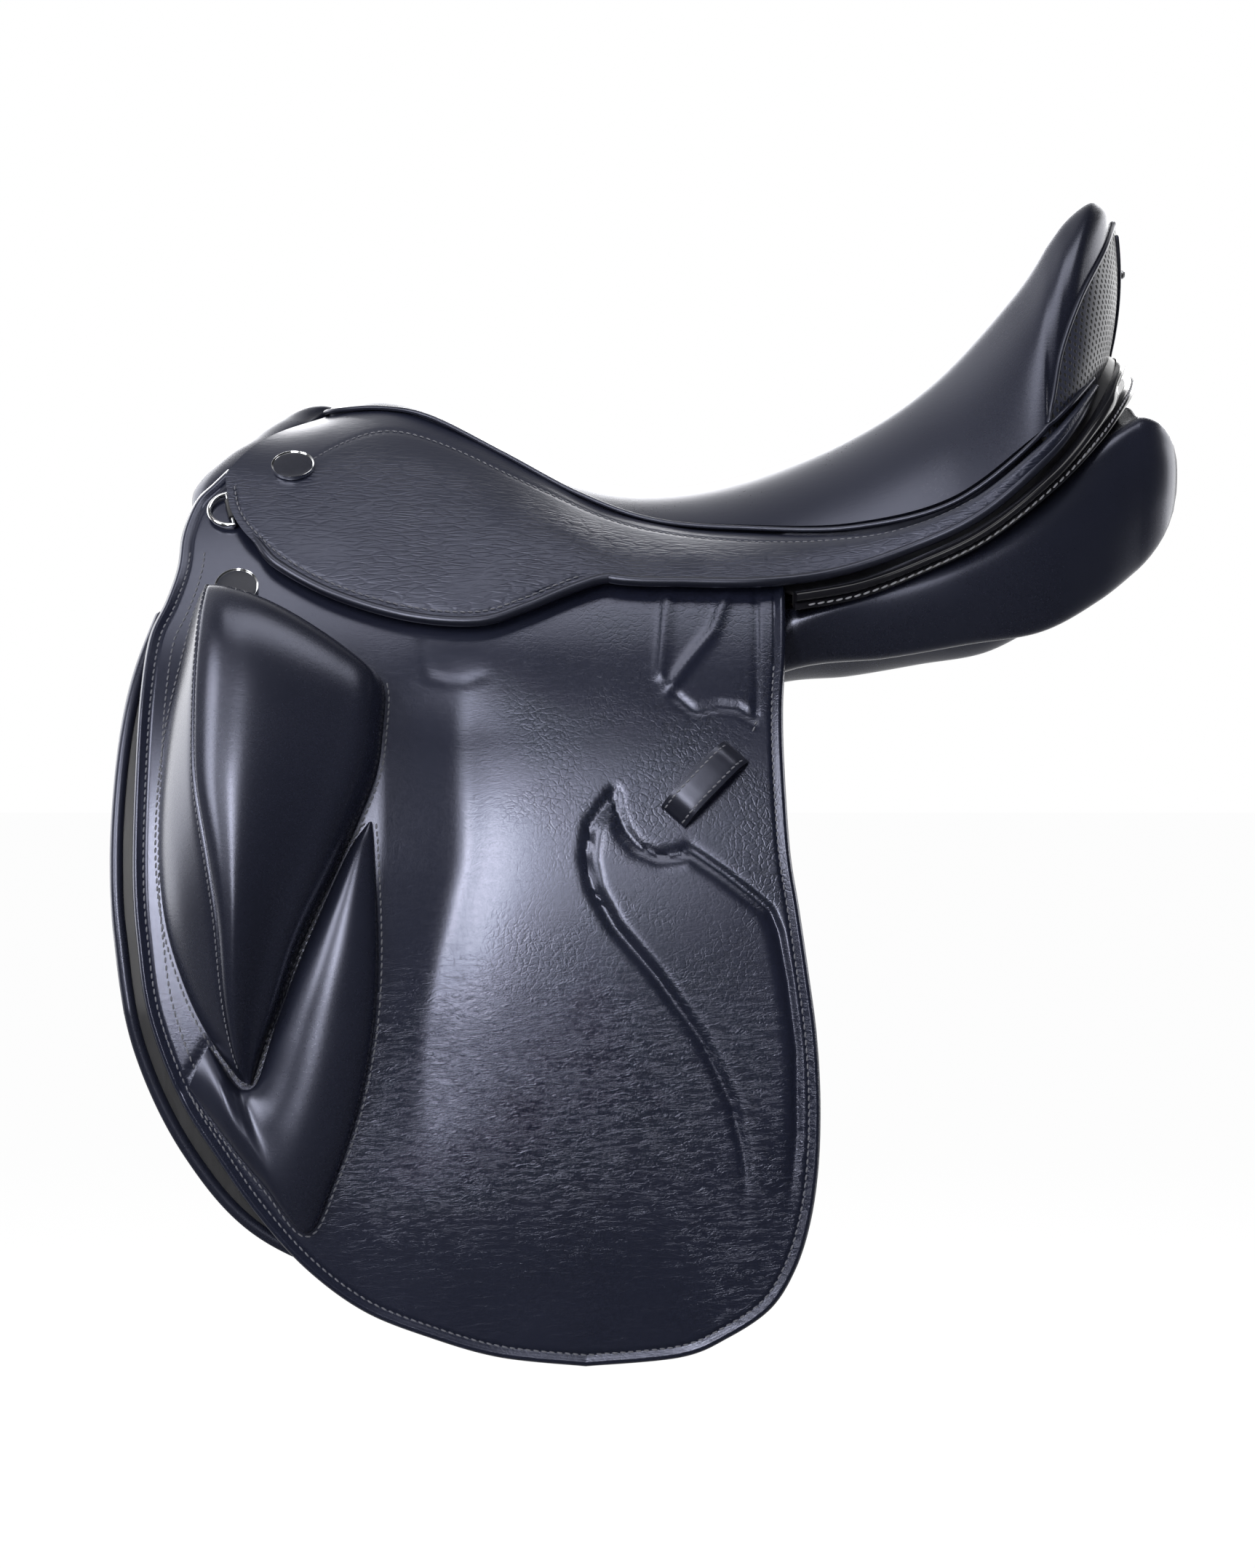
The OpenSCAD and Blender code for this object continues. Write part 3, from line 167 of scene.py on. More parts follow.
# Lines pressed into the flap (x, z)
HOOK = [(54, -300), (53, -270), (47, -245), (33, -216), (12, -187), (-6, -166), (-16, -148), (-19, -134),
        (-17, -119), (-9, -108), (-6, -104), (-5, -112), (-1, -122), (5, -129), (15, -133), (24, -132),
        (28, -130), (44, -141), (58, -152), (65, -158), (69, -168), (73, -190), (77, -222), (77, -260),
        (73, -300)]
VALLEY = [(-74, -20), (-77.5, -65), (-76.5, -128), (-81, -154), (-88, -186), (-92.5, -222), (-94, -300),
          (-95, -370)]
TUCKS = [[(20, -2), (18, -24), (15.7, -48)], [(48, -7), (41, -27), (28.2, -43), (19.4, -55)]]
DARTS = [(1.0, [(-191, -219), (-205.5, -243)]), (0.8, [(61.4, -5), (60.4, -67)]),
         (0.9, [(19.4, -56), (31.3, -66.2), (42.1, -63.5), (51.9, -64.5), (60.4, -69.9)]),
         (0.35, [(-97, -33), (-94, -50), (-84, -52.5), (-75.6, -52), (-68, -49)])]

# Relief of the flap: the edge's rounding, the distance of its two seams, and depths and heights of its lines
FLAP_ROUND, FLAP_SEAM, SECOND_SEAM = 1.3, 5.4, 12.5
VALLEY_DEPTH, SEAM_DEPTH, HOOK_DEPTH, BEAD_HIGH, LENS_HIGH, TUCK_HIGH = 4.4, 0.7, 1.7, 0.8, 1.1, 1.3

# Keeper: its middle on the flap (x, z), its turn in degrees, its half length and half width
KEEPER_AT, KEEPER_TURN, KEEPER_LONG, KEEPER_WIDE = (36, -100), 47, 22.0, 7.5

# Studs: place on the flap (x, z) and on the skirt (station, share); in metres the rim's radius, height, lip,
# sunk face and rounding, and the dome in it
FLAP_STUD_AT, SKIRT_STUD_AT = (-187.0, -6.5), (1, 0.8)
STUD_R, STUD_H, STUD_LIP, STUD_SUNK, STUD_EDGE = 0.0105, 0.0024, 0.0009, 0.0008, 0.0003
DOME_R, DOME_FLAT, DOME_UP = 0.0098, 0.07, 0.0016

# Bevels of thin leather and webbing, and of the straps, in metres
THIN_EDGE, STRAP_EDGE = 0.0002, 0.0006

# Depths under the seat: the foam, the webbing's two faces and the underside of the tree
FOAM_DEPTH, WEB_TOP, WEB_UNDER, TREE_DEPTH = 23.3, 24.6, 26, 41.24

# Grids: rows and columns, the skirt's spans, the share of it tucked under the seat and the rows of its hem
SEAT_ROWS, SEAT_COLS = 190, 131
BACK_ROWS, TRIM_ROWS, TRIM_COLS = 180, 280, 34
SKIRT_ROWS, SKIRT_COLS, SKIRT_SPANS, SKIRT_TUCK = 260, 44, 13, 0.05
HEM_RUN = slice(92, 237)
FLAP_ROWS, FLAP_COLS = 210, 190
PANEL_ROWS, PANEL_COLS = 140, 72

# One stitch: sides, slant and flatness of the thread, and its rings (share of the length, thickness, depth)
STITCH_SIDES, STITCH_SLANT, STITCH_FLAT = 6, 0.12, 0.8
STITCH_RINGS = ((-0.5, 0.35, 0.5), (-0.3, 1, 0), (0.3, 1, 0), (0.5, 0.35, 0.5))

# Photo: focal length and height in pixels, sensor in millimetres; camera and floor in metres
PHOTO_FOCAL, PHOTO_HIGH, SENSOR = 3919, 2156, 36
CAMERA_AT, FLOOR_AT, FLOOR_SIZE = (0, -1.5, -0.1), (0, 20, -0.62), 60

# Lamps: place, aim, size and power
LAMPS = {
    "key_strip": ((-0.52, -1.95, 0.45), (-0.07, -0.2, -0.1), (0.22, 1.0), 14),
    "front_box": ((-0.36, -1.9, 0.85), (-0.02, -0.18, -0.08), (0.7, 0.8), 9),
    "high_box": ((0.15, -0.6, 1.5), (0.05, -0.1, 0.05), (1.6, 0.6), 10),
    "back_box": ((0.1, 1.7, 0.9), (0.05, 0, 0.05), (2.4, 1.0), 46),
    "side_box": ((-1.2, -1.3, 0.7), (-0.19, -0.2, -0.08), (0.5, 1.0), 15),
    "rim_box": ((-1.3, 0.5, 0.35), (-0.2, -0.2, -0.05), (1.2, 1.4), 14),
    "rear_box": ((1.5, 0.9, 0.4), (0.2, 0, 0.05), (1.0, 1.0), 8),
}

# Cool sheen of the leathers
SHEEN = {"Specular_IOR_Level": 0.8, "Specular_Tint": (0.76, 0.79, 1, 1)}


# Curves and grids

def mix(a, b, t):
    return a + (b - a) * t


def smooth(t):
    t = np.clip(t, 0, 1)
    return t * t * (3 - 2 * t)


def bell(x, middle, width):
    """A smooth bump of height 1 round middle."""
    return np.exp(-((x - middle) / width) ** 2)


def unit(v):
    return v / np.maximum(np.linalg.norm(v, axis=-1, keepdims=True), 1e-12)


def spline(points, t):
    """Points on the curve through points, at positions t counted in points."""
    p = np.asarray(points, float)
    p = p[:, None] if p.ndim == 1 else p
    n = len(p) - 1
    t = np.clip(np.atleast_1d(np.asarray(t, float)), 0, n)
    i = np.minimum(t.astype(int), n - 1)
    f = (t - i).reshape((-1,) + (1,) * (p.ndim - 1))
    a, b, c, d = p[np.maximum(i - 1, 0)], p[i], p[i + 1], p[np.minimum(i + 2, n)]
    square, cube = 2 * a - 5 * b + 4 * c - d, 3 * b - a - 3 * c + d
    return 0.5 * (2 * b + (c - a) * f + square * f * f + cube * f ** 3)


def curve(points, n):
    return spline(points, np.linspace(0, len(points) - 1, n))


def lengths(path):
    """Distance along a path to each of its points."""
    return np.concatenate([[0], np.cumsum(np.linalg.norm(np.diff(path, axis=0), axis=1))])


def read_at(at, s, rows):
    """Rows that are known at the distances s, read at the distances at."""
    return np.stack([np.interp(at, s, rows[:, k]) for k in range(rows.shape[1])], 1)


def even(points, n):
    """The curve through points, as n points at equal distances."""
    q = curve(points, 30 * len(points))
    s = lengths(q)
    return read_at(np.linspace(0, s[-1], n), s, q)


def near(points, line):
    """Distance of each point from a line of points."""
    line = np.asarray(line, float)
    best = np.full(len(points), 1e9)
    for a, b in zip(line[:-1], line[1:]):
        ab = b - a
        t = np.clip(((points - a) @ ab) / max(ab @ ab, 1e-12), 0, 1)
        best = np.minimum(best, np.linalg.norm(points - a - t[:, None] * ab, axis=1))
    return best


def within(points, ring):
    """Whether each point lies inside a closed ring of points."""
    x, y = points.T
    ring = np.asarray(ring, float)
    hit = np.zeros(len(points), bool)
    for (x0, y0), (x1, y1) in zip(ring, np.roll(ring, -1, axis=0)):
        if y0 != y1:
            hit ^= ((y0 > y) != (y1 > y)) & (x < (x1 - x0) * (y - y0) / (y1 - y0) + x0)
    return hit


def inset(line, distance):
    """A line moved sideways, to its right."""
    line = np.asarray(line, float)
    along = unit(np.gradient(line, axis=0))
    return line + distance * np.stack([along[:, 1], -along[:, 0]], 1)


def normals(grid, outward):
    """Directions square to a grid, on the side that outward points to."""
    n = unit(np.cross(np.gradient(grid, axis=0), np.gradient(grid, axis=1)))
    return -n if (n @ np.asarray(outward, float)).mean() < 0 else n


def across(a, b, shares, heights):
    """Grid between two edges, raised along its normal by the height at each share of the way."""
    a, b = np.asarray(a, float), np.asarray(b, float)
    face = unit(np.cross(np.gradient(a, axis=0), b - a))
    level = a[:, None] + (b - a)[:, None] * np.asarray(shares)[None, :, None]
    return level + face[:, None] * np.asarray(heights)[..., None]


def on_grid(grid, i, j):
    """Points of a grid at fractional rows i and columns j."""
    i, j = np.broadcast_arrays(np.asarray(i, float), np.asarray(j, float))
    a, b = np.clip(i.astype(int), 0, grid.shape[0] - 2), np.clip(j.astype(int), 0, grid.shape[1] - 2)
    u, v = (i - a)[..., None], (j - b)[..., None]
    return mix(mix(grid[a, b], grid[a + 1, b], u), mix(grid[a, b + 1], grid[a + 1, b + 1], u), v)


def both_sides(points):
    """A line on the +Y side, run on from its mirror image."""
    p = np.asarray(points, float)
    return np.concatenate([p[:-1] * (1, -1, 1), p[::-1]])


# Shapes of the saddle

def seat(s, v):
    """Points of the seat at stations s from front to rear and shares v from left to right."""
    s, v = np.broadcast_arrays(np.asarray(s, float), np.asarray(v, float))
    c = spline(CREST, s.ravel()).reshape(s.shape + (2,))
    e = spline(RIM, s.ravel()).reshape(s.shape + (3,))
    hollow = spline(DISH, s.ravel()).reshape(s.shape) * (1 - np.minimum(np.abs(v) / 0.6, 1) ** 2) ** 2
    power = mix(2.4, 3.6, s / SEAT_END)
    return np.stack([mix(c[..., 0], e[..., 0], v * v), e[..., 1] * v,
                     mix(c[..., 1], e[..., 2], np.abs(v) ** power) - hollow], -1)


def rise(z):
    return np.maximum(0, (z - FLARE_BASE) / FLARE_SPAN)


def lean(z):
    return FLARE_IN * FLARE_POW / FLARE_SPAN * rise(z) ** (FLARE_POW - 1)


def out(z, h):
    """Half-width of the side at the height z, h above the flap's face."""
    return FLARE_LOW - FLARE_IN * rise(z) ** FLARE_POW + h * np.sqrt(1 + lean(z) ** 2)


def hung(p, h):
    """Points (x, z) on the side, moved sideways to the height h over the flap's face."""
    return np.stack([p[..., 0], out(p[..., 1], h), p[..., 1]], -1)


def proud(p, h):
    """Points (x, z) on the side, moved square to the flap to the height h."""
    tilt = np.arctan(lean(p[..., 1]))
    return np.stack([p[..., 0], out(p[..., 1], 0) + h * np.cos(tilt), p[..., 1] + h * np.sin(tilt)], -1)


def facing(p):
    """Outward direction of the side at points (x, z)."""
    tilt = np.arctan(lean(p[..., 1]))
    return np.stack([0 * tilt, np.cos(tilt), np.sin(tilt)], -1)


def fold_z(x):
    return FOLD_FRONT[1] + (np.asarray(x, float) - FOLD_FRONT[0]) * FOLD_SLOPE


def skirt_grid(rows, cols, crown=3.0):
    """The skirt above its fold, from the seat's seam down to the hem."""
    x = np.array(SKIRT_FOLD_X, float)
    top = np.stack([x, out(fold_z(x), SKIRT_OUT), fold_z(x)], 1)
    hem = np.array(SKIRT_HEM, float)
    hem[:, 1] = np.where(hem[:, 0] < 80, np.maximum(hem[:, 1], out(hem[:, 2], SKIRT_OUT)), hem[:, 1])
    t = np.linspace(-SKIRT_TUCK, 1, cols)
    a, b = curve(SKIRT_SEAM, rows), curve(np.concatenate([top, hem]), rows)
    face = unit(np.cross(np.gradient(a, axis=0), b - a))
    down = unit(np.stack([0 * b[:, 0], lean(b[:, 2]), -np.ones(rows)], 1))
    down = down * np.linalg.norm(b - a, axis=1)[:, None]
    pull = (down - (b - a) + face * crown * 4) * smooth((10 - b[:, 0]) / 50)[:, None]
    pull[:, 0] = 0
    return across(a, b, t, crown * 4 * t * (1 - t)) + pull[:, None] * (t * t * (t - 1))[None, :, None]


def skirt_place(station, share):
    """Row and column of the skirt's grid at a station along it and a share of the way down."""
    return (station / SKIRT_SPANS * (SKIRT_ROWS - 1),
            (share + SKIRT_TUCK) / (1 + SKIRT_TUCK) * (SKIRT_COLS - 1))


FLAP_LINE = np.concatenate([even(FLAP_FRONT, 150), even(FLAP_REAR, 150)[::-1]])


def flap_relief(p):
    """Height of the flap's outer face at points (x, z), with its bead, valley and pressed lines."""
    x, z = p.T
    edge = near(p, FLAP_LINE)
    low = even(VALLEY, 200)[::-1]
    aside = x - np.interp(z, low[:, 1], low[:, 0])
    off = np.sqrt(aside ** 2 + 16) - 4
    ahead, behind = np.clip(1 - off / 33, 0, 1), 0.62 * np.exp(-off / 20) + 0.38 * np.exp(-off / 75)
    valley = np.where(aside < 0, ahead, behind) * smooth((-30 - z) / 50) * smooth((z + 300) / 85)
    fade = smooth((z + 302) / 60)
    hook = near(p, HOOK)
    h = -VALLEY_DEPTH * valley - 2.0 * np.clip(1 - edge / FLAP_ROUND, 0, 1) ** 2
    h += BEAD_HIGH * bell(edge, 2.2, 1.2) - SEAM_DEPTH * bell(edge, FLAP_SEAM, 0.9)
    h -= HOOK_DEPTH * bell(hook, 0, 2.1) * fade
    h += LENS_HIGH * np.where(within(p, HOOK), smooth(hook / 7), 0) * fade
    for line in TUCKS:
        h += TUCK_HIGH * bell(near(p, line), 0, 2.6)
    for depth, line in DARTS:
        h -= depth * bell(near(p, line), 0, 1.8)
    return h, edge, valley


def cushion(rows, profile, height, foot, n, parts):
    """Padded grid over the flap: profile gives, for a crest, runs of (share, height) from rear to front."""
    grid = []
    for front_x, front_z, rear_x, rear_z, crest, share, bow in curve(rows, n):
        runs = enumerate(zip(profile(crest), parts))
        u = np.concatenate([curve(run, m)[k > 0:] for k, (run, m) in runs])
        p = mix(np.array([front_x, front_z]), np.array([rear_x, rear_z]), u[:, :1])
        p[:, 1] += bow * 4 * u[:, 0] * (1 - u[:, 0])
        grid.append(proud(p, foot + max(0.0, share) * height * u[:, 1]))
    return np.array(grid)


def block_profile(c):
    """Section of the knee block: a full face behind the crest c and a slope in front of it."""
    return ([(1, 0), (0.985, 0.34), (0.93, 0.56), (0.8, 0.7), (mix(0.8, c, 0.35), 0.9),
             (mix(0.8, c, 0.6), 0.99), (mix(0.8, c, 0.78), 0.985), (mix(0.8, c, 0.9), 0.945), (c, 0.87)],
            [(c, 0.87), (c * 0.8, 0.77), (c * 0.35, 0.45), (c * 0.08, 0.18), (0, 0)])


def pad_profile(c):
    """Section of the knee pad: one round back with its crest at c."""
    return ([(1, 0), (0.97, 0.4), (0.86, 0.72), (0.68, 0.94), (c, 1), (0.3, 0.9), (0.12, 0.62), (0.02, 0.3),
             (0, 0)],)


def under_tree(x, y):
    """Height of the tree's underside."""
    s = np.interp(x, [p[0] for p in CREST], range(len(CREST)))
    w = spline(RIM, s)[0][1]
    return float(seat(s, min(y / w, 1))[..., 2]) - TREE_DEPTH


def panel_rings(rows, cols):
    """Rings of the stuffed panel on the +Y side, from the front to the rear."""
    near_y = GULLET_W / 2

    def tucked(z, h):
        return float(out(z, h)), z

    def fore(x, top, low, thick):
        roof, eave = min(top, under_tree(x, near_y + 6)), min(top - 10, under_tree(x, 60))
        return [tucked(-34, PANEL_OUT), tucked(-8, PANEL_OUT), tucked(min(16, eave - 6), PANEL_OUT),
                (min(float(out(eave, PANEL_OUT)), 74), eave), (near_y + 6, roof),
                (near_y + 1, roof - thick * 0.7), tucked(-14, PANEL_OUT - thick),
                tucked(-44, PANEL_LOW_OUT - thick), tucked(low + 10, PANEL_LOW_OUT - thick * 0.6),
                tucked(low - 4, PANEL_LOW_OUT - 6),
                tucked(low + 4, PANEL_LOW_OUT), tucked(-52, PANEL_LOW_OUT)]

    def aft(x, wide, roof, eave, mid, low, keel):
        top, shoulder = min(roof, under_tree(x, near_y + 6)), min(eave, under_tree(x, wide - 24))
        return [(wide, mid), (wide - 3, mix(mid, shoulder, 0.5)), (wide - 9, shoulder - 4),
                (wide - 24, shoulder), (near_y + 8, top), (near_y, mix(top, keel, 0.4)),
                (near_y + 3, mix(top, keel, 0.8)),
                (near_y + 12, keel), (mix(near_y, wide, 0.5), mix(keel, low, 0.5) - 3), (wide - 24, low + 1),
                (wide - 10, low), (wide - 2, mix(low, mid, 0.5))]

    stations = [[(row[0], y, z) for y, z in section(*row)]
                for section, table in ((fore, PANEL_FORE), (aft, PANEL_AFT)) for row in table]
    rings = curve(np.array(stations, float), rows)
    corners = rings.shape[1]
    wrapped = np.concatenate([rings[:, -2:], rings, rings[:, :3]], 1).transpose(1, 0, 2)
    rings = spline(wrapped, 2 + np.arange(cols) * corners / cols).transpose(1, 0, 2)
    middle = rings[0].mean(0)
    front = [middle + (rings[0] - middle) * k - (d, 0, 0) for k, d in PANEL_NOSE]
    middle, rear = rings[-1].mean(0), []
    start = PANEL_TAIL[0]
    for u in PANEL_TAIL[1:]:
        d = PANEL_DOME * (u - start) / (1 - start)
        drift = d * (1 - d / (2 * PANEL_DOME))
        narrow = math.sqrt((1 - u * u) / (1 - start * start))
        rear.append(middle + (rings[-1] - middle) * narrow + (d, -0.28 * drift, 0.5 * drift))
    return np.concatenate([np.array(front), rings, np.array(rear)])


# Meshes

def deselect():
    if bpy.context.object and bpy.context.object.mode != "OBJECT":
        bpy.ops.object.mode_set(mode="OBJECT")
    bpy.ops.object.select_all(action="DESELECT")


def pick(piece):
    deselect()
    piece.select_set(True)
    bpy.context.view_layer.objects.active = piece


def shell(name, points, faces, sign=1, marks=None):
    """A closed mesh from points in millimetres, mirrored for the left side, its faces turned outwards."""
    mesh = bpy.data.meshes.new(name)
    points = np.asarray(points, float).reshape(-1, 3) * (MM, sign * MM, MM)
    mesh.from_pydata(points.tolist(), [], [list(map(int, f)) for f in faces])
    for key, values in (marks or {}).items():
        values = np.asarray(values, np.float32)
        kind = "FLOAT" if values.ndim == 1 else "FLOAT_VECTOR"
        layer = mesh.attributes.new(key, kind, "POINT")
        layer.data.foreach_set("value" if values.ndim == 1 else "vector", values.ravel())
    whole = bmesh.new()
    whole.from_mesh(mesh)
    bmesh.ops.remove_doubles(whole, verts=whole.verts, dist=2e-6)
    bmesh.ops.dissolve_degenerate(whole, edges=whole.edges, dist=1e-6)
    bmesh.ops.recalc_face_normals(whole, faces=whole.faces)
    whole.to_mesh(mesh)
    whole.free()
    piece = bpy.data.objects.new(name, mesh)
    bpy.context.scene.collection.objects.link(piece)
    soften(piece)
    return piece


def soften(piece):
    pick(piece)
    bpy.ops.object.shade_smooth_by_angle(angle=math.radians(42))


def slab(name, outer, inner, sign=1, marks=None):
    """A closed sheet between an outer and an inner grid of the same size."""
    r, c = outer.shape[:2]
    at = np.arange(r * c).reshape(r, c)
    top = np.stack([at[:-1, :-1], at[:-1, 1:], at[1:, 1:], at[1:, :-1]], -1).reshape(-1, 4)
    rim = np.concatenate([at[0], at[1:, -1], at[-1, -2::-1], at[-2:0:-1, 0]])
    ahead = np.roll(rim, -1)
    wall = np.stack([ahead, rim, rim + r * c, ahead + r * c], -1)
    faces = np.concatenate([top, top[:, ::-1] + r * c, wall])
    doubled = {key: np.concatenate([values.reshape((r * c,) + values.shape[2:])] * 2)
               for key, values in (marks or {}).items()}
    return shell(name, np.concatenate([outer.reshape(-1, 3), inner.reshape(-1, 3)]), faces, sign, doubled)


def loft(name, rings, sign=1):
    """A closed mesh through rings of points, with fans over both ends."""
    r, c = rings.shape[:2]
    at = np.arange(r * c).reshape(r, c)
    ahead = np.roll(at, -1, axis=1)
    faces = np.stack([at[:-1], at[1:], ahead[1:], ahead[:-1]], -1).reshape(-1, 4).tolist()
    faces += [[r * c, a, b] for a, b in zip(at[0], ahead[0])]
    faces += [[r * c + 1, b, a] for a, b in zip(at[-1], ahead[-1])]
    points = np.concatenate([rings.reshape(-1, 3), [rings[0].mean(0), rings[-1].mean(0)]])
    return shell(name, points, faces, sign)


def tube_rings(path, radius, sides, up):
    """Rings of a round tube, with rounded ends."""
    t = unit(np.gradient(path, axis=0))
    a = unit(np.cross(np.asarray(up, float), t))
    b = np.cross(t, a)
    w = np.linspace(0, 2 * math.pi, sides, endpoint=False)
    ring = a[:, None] * np.cos(w)[None, :, None] + b[:, None] * np.sin(w)[None, :, None]
    radius = np.broadcast_to(np.asarray(radius, float), len(path))
    rings = path[:, None] + radius[:, None, None] * ring
    ends = []
    for k, step in ((0, -1), (-1, 1)):
        ends.append(np.array([path[k] + step * t[k] * radius[k] * ahead + radius[k] * narrow * ring[k]
                              for ahead, narrow in ((0.5, 0.86), (0.87, 0.5), (0.98, 0.15))]))
    return np.concatenate([ends[0][::-1], rings, ends[1]])


def tube(name, path, radius, sign=1, sides=12, up=(0, 0, 1)):
    return loft(name, tube_rings(np.asarray(path, float), radius, sides, up), sign)


def thread(name, rows, sign=1, pitch=None, bold=1.0):
    """Stitches along rows of (points, outward directions), as one mesh."""
    sizes = bpy.context.scene.saddle_sizes
    pitch = pitch or sizes.stitch_pitch / MM
    length, r = sizes.stitch_length / sizes.stitch_pitch * pitch, sizes.stitch_radius / MM * bold
    centres, along, outward = [], [], []
    for path, face in rows:
        s = lengths(path)
        at = np.arange(pitch / 2, s[-1] - pitch / 2, pitch)
        centres.append(read_at(at, s, path))
        along.append(unit(read_at(at + 0.5, s, path) - read_at(at - 0.5, s, path)))
        outward.append(unit(read_at(at, s, face)))
    c, t, n = (np.concatenate(q) for q in (centres, along, outward))
    b = unit(np.cross(n, t))
    t = unit(t + STITCH_SLANT * b)
    w = np.linspace(0, 2 * math.pi, STITCH_SIDES, endpoint=False)[None, :, None]
    ring = b[:, None] * np.cos(w) + STITCH_FLAT * n[:, None] * np.sin(w)
    points = np.stack([(c + t * share * length - n * sink * r)[:, None] + r * thick * ring
                       for share, thick, sink in STITCH_RINGS], 1)
    at = np.arange(len(STITCH_RINGS) * STITCH_SIDES).reshape(-1, STITCH_SIDES)
    ahead = np.roll(at, -1, axis=1)
    one = np.stack([at[:-1], ahead[:-1], ahead[1:], at[1:]], -1).reshape(-1, 4).tolist()
    one += [at[0].tolist(), at[-1][::-1].tolist()]
    faces = [[v + at.size * k for v in f] for k in range(len(c)) for f in one]
    return shell(name, points, faces, sign)


def coat(piece, key):
    """Gives a piece its finish."""
    piece.data.materials.clear()
    piece.data.materials.append(finish(key))


def settle(piece, body, key, nodes=()):
    """Gives a piece its finish, its body and the solids that it stands for."""
    coat(piece, key)
    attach(piece, body)
    if nodes:
        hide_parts(*nodes)


# Finishes

class Value:
    """One shader socket that takes Python arithmetic."""

    def __init__(self, nodes, socket):
        self.nodes, self.socket = nodes, socket

    def math(self, operation, a, b):
        return self.nodes.node("Math", {"operation": operation}, {0: a, 1: b})

    def __add__(self, other):
        return self.math("ADD", self, other)

    def __radd__(self, other):
        return self.math("ADD", other, self)

    def __sub__(self, other):
        return self.math("SUBTRACT", self, other)

    def __rsub__(self, other):
        return self.math("SUBTRACT", other, self)

    def __mul__(self, other):
        return self.math("MULTIPLY", self, other)

    def __rmul__(self, other):
        return self.math("MULTIPLY", other, self)


class Nodes:
    """A node tree that is filled by one call for each node."""

    def __init__(self, tree):
        self.tree = tree

    def node(self, kind, settings=None, inputs=None, out=0):
        made = self.tree.nodes.new("ShaderNode" + kind)
        for key, value in (settings or {}).items():
            setattr(made, key, value)
        for key, value in (inputs or {}).items():
            if isinstance(value, Value):
                self.tree.links.new(value.socket, made.inputs[key])
            else:
                made.inputs[key].default_value = value
        return Value(self, made.outputs[out]) if made.outputs else made

    def larger(self, a, b):
        return self.node("Math", {"operation": "MAXIMUM"}, {0: a, 1: b})


class Finish(Nodes):
    """A material built on one Principled shader."""

    def __init__(self, name, **fixed):
        self.material = bpy.data.materials.new(name)
        self.material.use_nodes = True
        super().__init__(self.material.node_tree)
        self.shader = next(n for n in self.tree.nodes if n.type == "BSDF_PRINCIPLED")
        for key, value in fixed.items():
            self.shader.inputs[key.replace("_", " ")].default_value = value
        self.place = self.node("TexCoord", out="Object")

    def wire(self, key, value):
        self.tree.links.new(value.socket, self.shader.inputs[key])

    def stretched(self, x, y, z, turn=(0, 0, 0)):
        return self.node("Mapping", None, {"Vector": self.place, "Scale": (x, y, z), "Rotation": turn})

    def noise(self, scale, detail=2.0, rough=0.5, warp=0.0, at=None):
        return self.node("TexNoise", None, {"Vector": at or self.place, "Scale": scale, "Detail": detail,
                                            "Roughness": rough, "Distortion": warp})

    def cells(self, scale, feature="F1", at=None):
        return self.node("TexVoronoi", {"feature": feature}, {"Vector": at or self.place, "Scale": scale})

    def mark(self, name, out="Fac"):
        return self.node("Attribute", {"attribute_name": name}, out=out)

    def shade(self, factor, a, b):
        return self.node("Mix", {"data_type": "RGBA"}, {0: factor, 6: (*a, 1), 7: (*b, 1)}, out=2)

    def span(self, value, low, high):
        return self.node("MapRange", {"interpolation_type": "SMOOTHSTEP"},
                         {"Value": value, "From Min": low, "From Max": high})

    def bump(self, height, strength=1.0, distance=0.001):
        settings = {"Height": height, "Strength": strength, "Distance": distance}
        self.wire("Normal", self.node("Bump", None, settings))
        return self.material


def tinted(colour, k):
    return tuple(min(1.0, c * k) for c in colour)


def calf_finish(name, colour, rough=0.25):
    """Smooth calf leather: fine pores, faint slack lines and a soft sheen."""
    f = Finish(name, **SHEEN)
    cloud = f.noise(11, 4)
    pores = f.cells(1500)
    slack = f.noise(240, 3, warp=1.2, at=f.stretched(1, 1, 2.6))
    f.wire("Base Color", f.shade(cloud, tinted(colour, 0.75), tinted(colour, 1.35)))
    f.wire("Roughness", rough - 0.05 + cloud * 0.1 + f.noise(700, 2) * 0.06)
    return f.bump(f.span(pores, 0, 0.5) * 0.007 + slack * 0.03 + f.noise(3000, 2) * 0.003)


